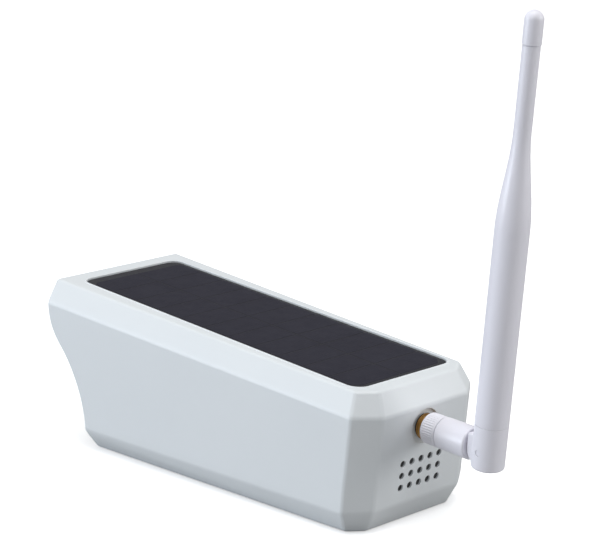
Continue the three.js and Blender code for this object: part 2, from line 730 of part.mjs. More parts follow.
function addSpeaker() {
  const { across, up } = SPEAKER_HALF;
  const place = (made) => moved(made, speakerSeat);
  // A slab with round ends, shrunk by "inset" all round.
  const slab = (inset, low, high) => {
    const radius = up - inset;
    const reach = across - up;
    const outline = new THREE.Shape();
    outline.absarc(reach, 0, radius, -Math.PI / 2, Math.PI / 2);
    outline.absarc(-reach, 0, radius, Math.PI / 2, Math.PI * 1.5);
    const options = { depth: high - low, bevelEnabled: false, curveSegments: 10 };
    return solid(new THREE.ExtrudeGeometry(outline, options).translate(0, 0, low));
  };
  const gasketFoot = -GAP - SPEAKER_GASKET.thick;
  const frameTop = gasketFoot - GAP;
  const frameFoot = frameTop - SPEAKER_THICK;
  const gasket = cut(slab(0, gasketFoot, -GAP), slab(SPEAKER_GASKET.rim, -5, 0));
  addNode(camera, "speaker_gasket", place(gasket), RUBBER);
  const basket = cut(slab(0, frameFoot, frameTop), slab(1, frameTop - 1.8, frameTop + 1));
  addNode(camera, "speaker_basket", place(basket), STEEL);
  const rim = slab(1 + GAP, frameTop - 1.5, frameTop - 0.6);
  const dish = slab(3, frameTop - 1.2, frameTop);
  const dustCap = slab(4.5, frameTop - 1.4, frameTop - 0.3);
  addNode(camera, "speaker_cone", place(join(cut(rim, dish), dustCap)), CONE_PAPER);
  const magnetTop = frameFoot - GAP;
  const magnet = rod(SPEAKER_MAGNET.radius, magnetTop - SPEAKER_MAGNET.thick, magnetTop);
  addNode(camera, "speaker_magnet", place(magnet), STEEL);
}

// ---------------------------------------------------------------- port bay

function addPortBay() {
  const boardLow = BAY_DEPTH + GAP;
  const socketTop = boardLow - GAP;
  addNode(
    camera,
    "port_board",
    block(
      [-BAY_HALF.across - 1.4, BAY_Y - BAY_HALF.along - 1.4, boardLow],
      [BAY_HALF.across + 1.4, BAY_Y + BAY_HALF.along + 1.4, boardLow + BOARD_THICK],
    ),
    BOARD,
  );
  const socket = (x0, x1, halfAlong, height, slot) => {
    const body = block(
      [x0, BAY_Y - halfAlong, socketTop - height],
      [x1, BAY_Y + halfAlong, socketTop],
    );
    const mouth = block(
      [x0 + slot, BAY_Y - halfAlong + slot, socketTop - height - 1],
      [x1 - slot, BAY_Y + halfAlong - slot, socketTop - 0.8],
    );
    return cut(body, mouth);
  };
  addNode(camera, "charging_socket", socket(-12.8, -5, 1.4, 3, 0.4), STEEL);
  addNode(camera, "card_socket", socket(-3.6, 9.2, 1.1, 3, 0.5), STEEL);
  const names = ["reset", "power"];
  names.forEach((name, index) => {
    const x = 11.6;
    const y = BAY_Y + (index === 0 ? -2.7 : 2.7);
    const body = block([x - 2, y - 2, socketTop - 2], [x + 2, y + 2, socketTop]);
    const bore = moved(rod(BUTTON.radius + GAP, socketTop - 3, socketTop - 0.4, 12), at(x, y, 0));
    addNode(camera, `${name}_switch`, cut(body, bore), BLACK_PLASTIC);
    const plungerTop = socketTop - 0.4 - GAP - BUTTON.travel;
    const plunger = rod(BUTTON.radius, plungerTop - BUTTON.length, plungerTop, 12);
    addNode(camera, `${name}_button`, moved(plunger, at(x, y, 0)), WHITE_PLASTIC);
  });

  // The cover lies in a rebate and turns down about its rear edge.
  const plate = block(
    [-coverHalf.across + GAP, BAY_Y - coverHalf.along + GAP, GAP],
    [coverHalf.across - GAP, BAY_Y + coverHalf.along - GAP, GAP + COVER_THICK],
  );
  const lipHalf = {
    across: BAY_HALF.across - COVER_LIP.inset,
    along: BAY_HALF.along - COVER_LIP.inset,
  };
  const lipTop = GAP + COVER_THICK + COVER_LIP.height;
  const frame = (shrink, low, high) =>
    block(
      [-lipHalf.across + shrink, BAY_Y - lipHalf.along + shrink, low],
      [lipHalf.across - shrink, BAY_Y + lipHalf.along - shrink, high],
    );
  const lip = cut(frame(0, GAP + 0.5, lipTop), frame(COVER_LIP.wall, GAP, lipTop + 1));
  addNode(camera, "port_cover", join(plate, lip), SILICONE);
}

// ---------------------------------------------------------------- antenna

function addAntenna() {
  antenna.applyMatrix4(jackSeat);
  const sealTop = GAP + JACK_SEAL_THICK;
  const flangeFoot = sealTop + GAP;
  const flangeTop = flangeFoot + JACK_FLANGE.thick;
  const jackTip = NUT_START + JACK_ENTRY;
  const boss = -JACK_BOSS.thick;
  const seal = ring(JACK_RADIUS + GAP, JACK_FLANGE.radius, GAP, sealTop);
  addNode(antenna, "jack_seal", seal, RUBBER);
  addNode(
    antenna,
    "antenna_jack",
    turned([
      [0, boss - JACK_TAIL.end],
      [JACK_TAIL.radius, boss - JACK_TAIL.end],
      [JACK_TAIL.radius, boss - JACK_TAIL.start],
      [JACK_RADIUS, boss - JACK_TAIL.start],
      [JACK_RADIUS, flangeFoot],
      [JACK_FLANGE.radius, flangeFoot],
      [JACK_FLANGE.radius, flangeTop],
      [JACK_RADIUS, flangeTop],
      [JACK_RADIUS, jackTip],
      [JACK_SOCKET.radius, jackTip],
      [JACK_SOCKET.radius, jackTip - JACK_SOCKET.depth],
      [0, jackTip - JACK_SOCKET.depth],
    ]),
    BRASS,
  );
  const washerTop = boss - GAP;
  const washerFoot = washerTop - JACK_WASHER.thick;
  const washer = ring(JACK_RADIUS + GAP, JACK_WASHER.radius, washerFoot, washerTop);
  addNode(antenna, "jack_washer", washer, STEEL);
  const nutTop = washerFoot - GAP;
  const nutFoot = nutTop - JACK_NUT.thick;
  const nutBore = rod(JACK_RADIUS + GAP, nutFoot - 1, nutTop + 1);
  addNode(antenna, "jack_nut", cut(rod(JACK_NUT.radius, nutFoot, nutTop, 6), nutBore), BRASS);

  // The coupling nut: a brass core that shows as a rim, in a white ribbed sleeve.
  const nutEnd = NUT_START + NUT_LENGTH;
  const core = ring(JACK_RADIUS + GAP, NUT_CORE_RADIUS, NUT_START - GAP, nutEnd - GAP);
  addNode(antenna, "coupling_nut_core", core, BRASS);
  const sleeve = ring(NUT_CORE_RADIUS + GAP, NUT_RADIUS, NUT_START, nutEnd, 32);
  addNode(antenna, "coupling_nut", sleeve, WHITE_PLASTIC);
  const coreFoot = jackTip + GAP;
  const elbowStart = nutEnd + GAP;
  const coreTop = elbowStart + PLUG_CORE.entry;
  addNode(antenna, "plug_core", rod(PLUG_CORE.radius, coreFoot, coreTop, 16), BRASS);

  // Elbow with the tongue that the whip turns on
  const elbowEnd = HINGE_REACH - KNUCKLE_RADIUS - ELBOW_CLEAR;
  let elbow = turned(
    [
      [0, elbowStart],
      [ELBOW_RADIUS.start - ELBOW_EDGE, elbowStart],
      [ELBOW_RADIUS.start, elbowStart + ELBOW_EDGE],
      [ELBOW_RADIUS.end, elbowEnd - ELBOW_EDGE],
      [ELBOW_RADIUS.end - ELBOW_EDGE, elbowEnd],
      [0, elbowEnd],
    ],
    32,
  );
  const tongueBar = block(
    [-TONGUE.halfWidth, -TONGUE.radius, elbowEnd - 1],
    [TONGUE.halfWidth, TONGUE.radius, HINGE_REACH],
  );
  const acrossHinge = at(0, 0, HINGE_REACH).multiply(TO_SIDE);
  const tongueEnd = moved(rod(TONGUE.radius, -TONGUE.halfWidth, TONGUE.halfWidth), acrossHinge);
  elbow = cut(
    join(elbow, tongueBar, tongueEnd),
    moved(rod(PIN_RADIUS + GAP, -10, 10, 16), acrossHinge),
    rod(PLUG_CORE.radius + GAP, 0, coreTop + GAP, 16),
  );
  addNode(antenna, "elbow", elbow, WHITE_PLASTIC);
  addWhip();
}

// The whip's own frame: the hinge pin at the origin, +Z up the whip, +X along the pin.
function addWhip() {
  whip.position.set(0, 0, HINGE_REACH);
  whip.rotation.x = Math.PI / 2 - WHIP_LEAN;

  const foot = [];
  for (let step = 0; step <= 3; step += 1) {
    const turn = -Math.PI / 2 + (step * Math.PI) / 6;
    foot.push([
      WHIP_RADIUS - FOOT_EDGE + FOOT_EDGE * Math.cos(turn),
      FOOT_EDGE - KNUCKLE_RADIUS + FOOT_EDGE * Math.sin(turn),
    ]);
  }
  const stem = turned(
    [[0, -KNUCKLE_RADIUS], ...foot, [WHIP_RADIUS, WHIP_BASE_TOP], [0, WHIP_BASE_TOP]],
    32,
  );
  const barrel = (radius, half, sides) => moved(rod(radius, -half, half, sides), TO_SIDE);
  // The knuckle faces the elbow, which lies towards -Y. The whole quarter under it is round about
  // the pin, so that the whip can swing down in line with the elbow.
  const lowerFront = block([-20, -20, -20], [20, 0, 0]);
  const quarter = barrel(KNUCKLE_RADIUS, KNUCKLE_HALF_WIDTH, 36).intersect(lowerFront);
  const swingRoom = cut(lowerFront, barrel(KNUCKLE_RADIUS, 21, 36));
  const cheek = block(
    [-KNUCKLE_HALF_WIDTH, -KNUCKLE_RADIUS, -0.01],
    [KNUCKLE_HALF_WIDTH, 0, KNUCKLE_TOP],
  );
  const slotHalf = TONGUE.halfWidth + GAP;
  const slotRadius = TONGUE.radius + GAP;
  // Open to the front, to the foot and through the knuckle's top, with room for the lean.
  const leanRoom = KNUCKLE_RADIUS * Math.tan(WHIP_LEAN);
  const slotTop = Math.max(slotRadius + leanRoom, KNUCKLE_TOP + GAP);
  const slot = join(
    barrel(slotRadius, slotHalf, 24),
    block([-slotHalf, -20, -20], [slotHalf, 0, slotTop]),
    block([-slotHalf, -1, -20], [slotHalf, slotRadius, 0]),
  );
  const base = cut(
    join(cut(stem, swingRoom), quarter, cheek),
    slot,
    barrel(PIN_RADIUS + GAP, WHIP_RADIUS + 5, 16),
    rod(WHIP_BORE, slotRadius - 1, WHIP_BASE_TOP + 1, 12),
  );
  addNode(whip, "whip_base", base, WHITE_PLASTIC);
  const pinHalf = Math.sqrt(WHIP_RADIUS ** 2 - PIN_RADIUS ** 2) - PIN_SUNK;
  addNode(whip, "hinge_pin", barrel(PIN_RADIUS, pinHalf, 12), WHITE_PLASTIC);

  const taper = [];
  for (let step = 0; step <= 5; step += 1) {
    const part = step / 5;
    const eased = part * part * (3 - 2 * part);
    taper.push([
      WHIP_RADIUS + (WHIP_NECK_RADIUS - WHIP_RADIUS) * eased,
      WHIP_SHOULDER + (WHIP_NECK - WHIP_SHOULDER) * part,
    ]);
  }
  const sleeve = turned([
    [0, WHIP_BASE_TOP + GAP],
    [WHIP_RADIUS, WHIP_BASE_TOP + GAP],
    ...taper,
    [WHIP_NECK_RADIUS, CAP_FOOT - GAP],
    [0, CAP_FOOT - GAP],
  ]);
  const bore = rod(WHIP_BORE, 0, CAP_FOOT - RADIATOR.margin + 4, 12);
  addNode(whip, "whip_sleeve", cut(sleeve, bore), WHITE_PLASTIC);
  const radiator = join(
    rod(WHIP_BORE - GAP, RADIATOR.start, RADIATOR.tube, 12),
    rod(RADIATOR.wire, RADIATOR.tube - 1, CAP_FOOT - RADIATOR.margin, 12),
  );
  addNode(whip, "radiator", radiator, BRASS);
  const cap = [[0, CAP_FOOT], [CAP_RADIUS, CAP_FOOT]];
  for (let step = 0; step <= 4; step += 1) {
    const turn = (step * Math.PI) / 8;
    const height = WHIP_TOP - CAP_RADIUS + CAP_RADIUS * Math.sin(turn);
    cap.push([step === 4 ? 0 : CAP_RADIUS * Math.cos(turn), height]);
  }
  addNode(whip, "whip_cap", turned(cap, 16), WHITE_PLASTIC);
}

addHousing();
addFace();
addChassis();
addSpeaker();
addPortBay();
addAntenna();

export default camera;
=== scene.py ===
"""A solar-powered outdoor camera with a hinged whip antenna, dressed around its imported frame.

Metres, in the frame's own axes: +Z is up, the lens looks along -Y, the antenna is at the +Y end.
Sizes below are given in millimetres and turned into metres by the builders.
"""

import json
import logging
import math
from dataclasses import dataclass, field
from enum import Enum
from typing import Callable, Iterable, Sequence

import bmesh
import bpy
from mathutils import Matrix, Vector


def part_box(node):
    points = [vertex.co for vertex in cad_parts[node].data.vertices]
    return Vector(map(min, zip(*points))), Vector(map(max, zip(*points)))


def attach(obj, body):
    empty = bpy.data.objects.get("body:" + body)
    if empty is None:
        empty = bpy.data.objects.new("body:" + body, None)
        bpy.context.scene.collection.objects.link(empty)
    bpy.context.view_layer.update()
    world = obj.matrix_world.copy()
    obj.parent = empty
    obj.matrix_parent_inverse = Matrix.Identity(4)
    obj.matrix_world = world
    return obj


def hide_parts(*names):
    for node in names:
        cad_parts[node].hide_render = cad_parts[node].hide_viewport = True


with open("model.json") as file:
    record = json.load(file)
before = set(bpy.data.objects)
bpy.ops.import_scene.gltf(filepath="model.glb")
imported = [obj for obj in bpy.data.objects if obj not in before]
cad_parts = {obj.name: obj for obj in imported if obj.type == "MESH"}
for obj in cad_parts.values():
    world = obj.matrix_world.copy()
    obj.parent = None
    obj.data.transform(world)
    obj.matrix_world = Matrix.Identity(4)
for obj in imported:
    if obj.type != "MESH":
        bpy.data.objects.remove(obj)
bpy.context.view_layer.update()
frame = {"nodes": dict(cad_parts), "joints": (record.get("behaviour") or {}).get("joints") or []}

MM = 0.001
LOG = logging.getLogger("camera")
Point2 = tuple[float, float]
Point3 = tuple[float, float, float]

# ------------------------------------------------------------------ shader effects


class Effect(Enum):
    """The shader node groups that several finishes share."""

    GRAIN = "moulded_grain"
    TONE = "tone_drift"
    # The painted highlight on edges: a lighter colour where a rounded normal turns away from the true one.
    EDGE_HIGHLIGHT = "painted_edge_highlight"
    BRUSH = "turned_lines"


def _set(tree: bpy.types.NodeTree, node: bpy.types.Node, inputs: dict) -> None:
    """Feeds a node's inputs.

    Args:
        tree: The tree the node is in.
        node: The node.
        inputs: A plain value or another node's output for each input, by name or number.
    """
    for name, value in inputs.items():
        if isinstance(value, bpy.types.NodeSocket):
            tree.links.new(value, node.inputs[name])
        else:
            node.inputs[name].default_value = value


def _node(tree: bpy.types.NodeTree, kind: str, inputs: dict | None = None, **settings) -> bpy.types.Node:
    """Adds a shader node.

    Args:
        tree: The tree it goes into.
        kind: Its type, without the ShaderNode in front.
        inputs: What feeds it, as in _set.
        **settings: Its own properties, set before its inputs.

    Returns:
        The node.
    """
    node = tree.nodes.new(f"ShaderNode{kind}")
    for name, value in settings.items():
        setattr(node, name, value)
    _set(tree, node, inputs or {})
    return node


def _times(tree: bpy.types.NodeTree, value, factor, clamp: bool = False) -> bpy.types.NodeSocket:
    """The product of two values, kept between 0 and 1 if clamped."""
    return _node(tree, "Math", {0: value, 1: factor}, operation="MULTIPLY", use_clamp=clamp).outputs[0]


def _mixed(tree: bpy.types.NodeTree, factor, first, second) -> bpy.types.NodeSocket:
    """A colour between two colours."""
    inputs = {"Factor": factor, "A": first, "B": second}
    return _node(tree, "Mix", inputs, data_type="RGBA").outputs["Result"]


def _masked(tree: bpy.types.NodeTree, value, low: float, high: float) -> bpy.types.NodeSocket:
    """A mask that goes from 0 to 1 as a value goes from low to high."""
    inputs = {"Value": value, "From Min": low, "From Max": high}
    return _node(tree, "MapRange", inputs).outputs["Result"]


def _spread(tree: bpy.types.NodeTree, mask, low: float, high: float) -> bpy.types.NodeSocket:
    """A value that goes from low to high as a mask goes from 0 to 1."""
    return _node(tree, "MapRange", {"Value": mask, "To Min": low, "To Max": high}).outputs["Result"]


def _noise(tree: bpy.types.NodeTree, spot, scale, detail: float) -> bpy.types.NodeSocket:
    """Noise at a spot, so fine and so detailed."""
    return _node(tree, "TexNoise", {"Vector": spot, "Scale": scale, "Detail": detail}).outputs["Fac"]


def _spot(tree: bpy.types.NodeTree) -> bpy.types.NodeSocket:
    """Where a point lies in its own object."""
    return _node(tree, "TexCoord").outputs["Object"]


def _bumped(tree: bpy.types.NodeTree, height, strength: float, depth: float) -> bpy.types.NodeSocket:
    """The normal of a surface with a height on it.

    Args:
        tree: The material's tree.
        height: The output that gives the height.
        strength: How strongly it shows, 0 to 1.
        depth: The height in metres.

    Returns:
        The output for a shader's normal.
    """
    inputs = {"Height": height, "Strength": strength, "Distance": depth}
    return _node(tree, "Bump", inputs).outputs["Normal"]


def _opaque(color: Point3) -> tuple[float, float, float, float]:
    """A colour with full alpha."""
    return (*color, 1.0)


class Effects:
    """Builds each shared effect once and places it in materials."""

    def __init__(self) -> None:
        """Starts with no group built."""
        self._built: dict[Effect, bpy.types.NodeTree] = {}

    def place(self, tree: bpy.types.NodeTree, effect: Effect, **values) -> bpy.types.bpy_prop_collection:
        """Adds an effect's group to a material.

        Args:
            tree: The material's tree.
            effect: Which effect.
            **values: The group's inputs, by name.

        Returns:
            The group's outputs.
        """
        if effect not in self._built:
            builders = {
                Effect.GRAIN: self._grain,
                Effect.TONE: self._tone,
                Effect.EDGE_HIGHLIGHT: self._painted_edge_highlight,
                Effect.BRUSH: self._brush,
            }
            self._built[effect] = builders[effect]()
        return _node(tree, "Group", values, node_tree=self._built[effect]).outputs

    @staticmethod
    def _new(effect: Effect, inputs: dict, outputs: Sequence[str]) -> tuple:
        """Makes an empty group.

        Args:
            effect: Which effect the group is for.
            inputs: Each input's default, by name: a colour or a number.
            outputs: The names of its outputs. The one called Color is a colour.

        Returns:
            The tree, what its inputs give, and its output node.
        """
        tree = bpy.data.node_groups.new(effect.value, "ShaderNodeTree")
        for name, value in inputs.items():
            kind = "NodeSocketColor" if isinstance(value, tuple) else "NodeSocketFloat"
            made = tree.interface.new_socket(name=name, in_out="INPUT", socket_type=kind)
            made.default_value = value
        for name in outputs:
            kind = "NodeSocketColor" if name == "Color" else "NodeSocketFloat"
            tree.interface.new_socket(name=name, in_out="OUTPUT", socket_type=kind)
        return tree, tree.nodes.new("NodeGroupInput").outputs, tree.nodes.new("NodeGroupOutput")

    def _grain(self) -> bpy.types.NodeTree:
        """Spark-eroded mould grain: a fine height and a mask of its high spots.

        Returns:
            The group's tree.
        """
        tree, given, sink = self._new(Effect.GRAIN, {"Scale": 2200.0, "Coarse": 0.35}, ("Height", "Mask"))
        spot = _spot(tree)
        fine = _noise(tree, spot, given["Scale"], 2.0)
        coarse = _noise(tree, spot, _times(tree, given["Scale"], 0.22), 1.0)
        mix = _node(tree, "Mix", {"Factor": given["Coarse"], "A": fine, "B": coarse})
        height = mix.outputs["Result"]
        _set(tree, sink, {"Height": height, "Mask": _masked(tree, height, 0.4, 0.65)})
        return tree

    def _tone(self) -> bpy.types.NodeTree:
        """Slow drift of a colour between two tones, with a mask of where it has drifted.

        Returns:
            The group's tree.
        """
        inputs = {
            "Color": _opaque((0.8, 0.8, 0.8)),
            "Drifted": _opaque((0.7, 0.7, 0.7)),
            "Scale": 25.0,
            "Amount": 0.5,
        }
        tree, given, sink = self._new(Effect.TONE, inputs, ("Color", "Mask"))
        drift = _masked(tree, _noise(tree, _spot(tree), given["Scale"], 4.0), 0.35, 0.7)
        mask = _times(tree, drift, given["Amount"])
        _set(tree, sink, {"Color": _mixed(tree, mask, given["Color"], given["Drifted"]), "Mask": mask})
        return tree

    def _painted_edge_highlight(self) -> bpy.types.NodeTree:
        """A mask for the painted highlight on edges, from how far a rounded normal turns from the true one.

        Returns:
            The group's tree.
        """
        tree, given, sink = self._new(Effect.EDGE_HIGHLIGHT, {"Strength": 1.0}, ("Mask",))
        eased = _node(tree, "Bevel", {"Radius": 0.0012}, samples=3)
        true = _node(tree, "NewGeometry")
        normals = {0: eased.outputs["Normal"], 1: true.outputs["Normal"]}
        dot = _node(tree, "VectorMath", normals, operation="DOT_PRODUCT")
        turned_away = _masked(tree, dot.outputs["Value"], 0.995, 0.9)
        _set(tree, sink, {"Mask": _times(tree, turned_away, given["Strength"], clamp=True)})
        return tree

    def _brush(self) -> bpy.types.NodeTree:
        """Fine lathe lines: a height that changes fast along one axis and slowly round it.

        Returns:
            The group's tree.
        """
        tree, given, sink = self._new(Effect.BRUSH, {"Fine": 6000.0}, ("Height",))
        stretch = _node(tree, "VectorMath", {0: _spot(tree), 1: (0.02, 1.0, 0.02)}, operation="MULTIPLY")
        _set(tree, sink, {"Height": _noise(tree, stretch.outputs["Vector"], given["Fine"], 3.0)})
        return tree

    def tone(self, tree: bpy.types.NodeTree, color: Point3, drifted: Point3, scale: float, amount: float):
        """Places the drift between two tones.

        Args:
            tree: The material's tree.
            color: The main tone.
            drifted: The other tone.
            scale: How closely the patches lie.
            amount: How far it drifts, 0 to 1.

        Returns:
            The group's outputs.
        """
        tones = {"Color": _opaque(color), "Drifted": _opaque(drifted)}
        return self.place(tree, Effect.TONE, **tones, Scale=scale, Amount=amount)


EFFECTS = Effects()

# ------------------------------------------------------------------ finishes


def _fresh(name: str) -> tuple[bpy.types.Material, bpy.types.NodeTree, bpy.types.Node]:
    """Makes an empty material with a Principled shader.

    Args:
        name: The material's name.

    Returns:
        The material, its tree and its Principled node.
    """
    material = bpy.data.materials.new(name)
    material.use_nodes = True
    tree = material.node_tree
    return material, tree, tree.nodes["Principled BSDF"]


@dataclass(frozen=True)
class MouldedFinish:
    """A moulded plastic or rubber: a tone that drifts a little, mould grain and a painted highlight that
    makes its edges lighter.
    """

    name: str
    color: Point3
    drifted: Point3
    roughness: float
    rough_spread: float = 0.06
    drift: float = 0.5
    drift_scale: float = 22.0
    grain_scale: float = 2200.0
    grain_depth: float = 0.00002
    grain_strength: float = 0.25
    # edge and the edge colour below: the strength and lighter colour of the painted highlight on edges.
    edge: float = 0.25
    edge_highlight_color: Point3 = (0.9, 0.9, 0.9)
    coat: float = 0.0
    coat_roughness: float = 0.1
    sheen: float = 0.0
    subsurface: float = 0.0
    transmission: float = 0.0
    scatter: Point3 = (0.004, 0.004, 0.004)
    least_rough: float = 0.02

    def material(self) -> bpy.types.Material:
        """Builds the material."""
        material, tree, shader = _fresh(self.name)
        tone = EFFECTS.tone(tree, self.color, self.drifted, self.drift_scale, self.drift)
        # The painted highlight on edges: its mask.
        edge = EFFECTS.place(tree, Effect.EDGE_HIGHLIGHT, Strength=self.edge)
        grain = EFFECTS.place(tree, Effect.GRAIN, Scale=self.grain_scale)
        low = max(self.least_rough, self.roughness - self.rough_spread)
        looks = {
            # Base colour with a painted highlight: lighter towards the edges.
            "Base Color": _mixed(tree, edge["Mask"], tone["Color"], _opaque(self.edge_highlight_color)),
            "Roughness": _spread(tree, grain["Mask"], low, self.roughness + self.rough_spread),
            "Normal": _bumped(tree, grain["Height"], self.grain_strength, self.grain_depth),
            "Coat Weight": self.coat,
            "Coat Roughness": self.coat_roughness,
            "Sheen Weight": self.sheen,
        }
        if self.subsurface:
            looks["Subsurface Weight"] = self.subsurface
            looks["Subsurface Radius"] = self.scatter
            looks["Subsurface Scale"] = 1.0
        if self.transmission:
            looks["Transmission Weight"] = self.transmission
        _set(tree, shader, looks)
        return material


@dataclass(frozen=True)
class MetalFinish:
    """A plated or turned metal with lathe lines and slightly stained tone."""

    name: str
    color: Point3
    stained: Point3
    roughness: float
    rough_spread: float = 0.18
    line_depth: float = 0.00001
    line_strength: float = 0.3
    stain: float = 0.6
    stain_scale: float = 320.0

    def material(self) -> bpy.types.Material:
        """Builds the material."""
        material, tree, shader = _fresh(self.name)
        tone = EFFECTS.tone(tree, self.color, self.stained, self.stain_scale, self.stain)
        lines = EFFECTS.place(tree, Effect.BRUSH)
        looks = {
            "Base Color": tone["Color"],
            "Roughness": _spread(tree, tone["Mask"], self.roughness, self.roughness + self.rough_spread),
            "Normal": _bumped(tree, lines["Height"], self.line_strength, self.line_depth),
            "Metallic": 1.0,
        }
        _set(tree, shader, looks)
        return material


@dataclass(frozen=True)
class GlassFinish:
    """Clear or tinted glass, kept plain so that it stays glass wherever it goes."""

    name: str
    color: Point3
    roughness: float = 0.02
    ior: float = 1.5
    drift: float = 0.4
    drift_scale: float = 60.0
    drift_share: float = 0.96

    def material(self) -> bpy.types.Material:
        """Builds the material."""
        material, tree, shader = _fresh(self.name)
        drifted = tuple(self.drift_share * part for part in self.color)
        tone = EFFECTS.tone(tree, self.color, drifted, self.drift_scale, self.drift)
        looks = {
            "Base Color": tone["Color"],
            "Roughness": self.roughness,
            "IOR": self.ior,
            "Transmission Weight": 1.0,
        }
        _set(tree, shader, looks)
        return material


@dataclass(frozen=True)
class CellFinish:
    """A silicon cell under a satin film: fine printed fingers, a tone of its own, dimpled film."""

    name: str
    color: Point3
    pale: Point3
    drift: float = 0.5
    drift_scale: float = 70.0
    finger_pitch: float = 0.00155
    finger_share: float = 0.09
    finger_color: Point3 = (0.06, 0.06, 0.08)
    finger_strength: float = 0.35
    roughness: Point2 = (0.56, 0.64)
    grain_scale: float = 900.0
    grain_coarse: float = 0.6
    grain_depth: float = 0.00004
    grain_strength: float = 0.35
    specular: float = 0.22

    def material(self) -> bpy.types.Material:
        """Builds the material."""
        material, tree, shader = _fresh(self.name)
        tone = EFFECTS.tone(tree, self.color, self.pale, self.drift_scale, self.drift)
        across = _node(tree, "SeparateXYZ", {0: _spot(tree)}).outputs["X"]
        part = _node(tree, "Math", {0: _times(tree, across, 1.0 / self.finger_pitch)}, operation="FRACT")
        near = _node(tree, "Math", {0: part.outputs[0], 1: self.finger_share}, operation="LESS_THAN")
        faint = _times(tree, near.outputs[0], self.finger_strength)
        grain = EFFECTS.place(tree, Effect.GRAIN, Scale=self.grain_scale, Coarse=self.grain_coarse)
        looks = {
            "Base Color": _mixed(tree, faint, tone["Color"], _opaque(self.finger_color)),
            "Roughness": _spread(tree, grain["Mask"], *self.roughness),
            "Normal": _bumped(tree, grain["Height"], self.grain_strength, self.grain_depth),
            "Specular IOR Level": self.specular,
        }
        _set(tree, shader, looks)
        return material


@dataclass(frozen=True)
class BoardFinish:
    """Green solder mask with copper runs showing faintly through it."""

    name: str
    mask: Point3 = (0.008, 0.075, 0.035)
    run: Point3 = (0.02, 0.14, 0.06)
    run_scale: float = 220.0
    run_width: float = 0.05
    run_depth: float = 0.00003
    run_strength: float = 0.3
    roughness: Point2 = (0.28, 0.42)
    grain_scale: float = 800.0

    def material(self) -> bpy.types.Material:
        """Builds the material."""
        material, tree, shader = _fresh(self.name)
        runs = {
            "Vector": _spot(tree),
            "Scale": self.run_scale,
            "Mortar Size": self.run_width,
            "Color1": _opaque(self.mask),
            "Color2": _opaque(self.mask),
            "Mortar": _opaque(self.run),
        }
        bricks = _node(tree, "TexBrick", runs).outputs
        grain = EFFECTS.place(tree, Effect.GRAIN, Scale=self.grain_scale)
        looks = {
            "Base Color": bricks["Color"],
            "Roughness": _spread(tree, grain["Mask"], *self.roughness),
            "Normal": _bumped(tree, bricks["Fac"], self.run_strength, self.run_depth),
        }
        _set(tree, shader, looks)
        return material


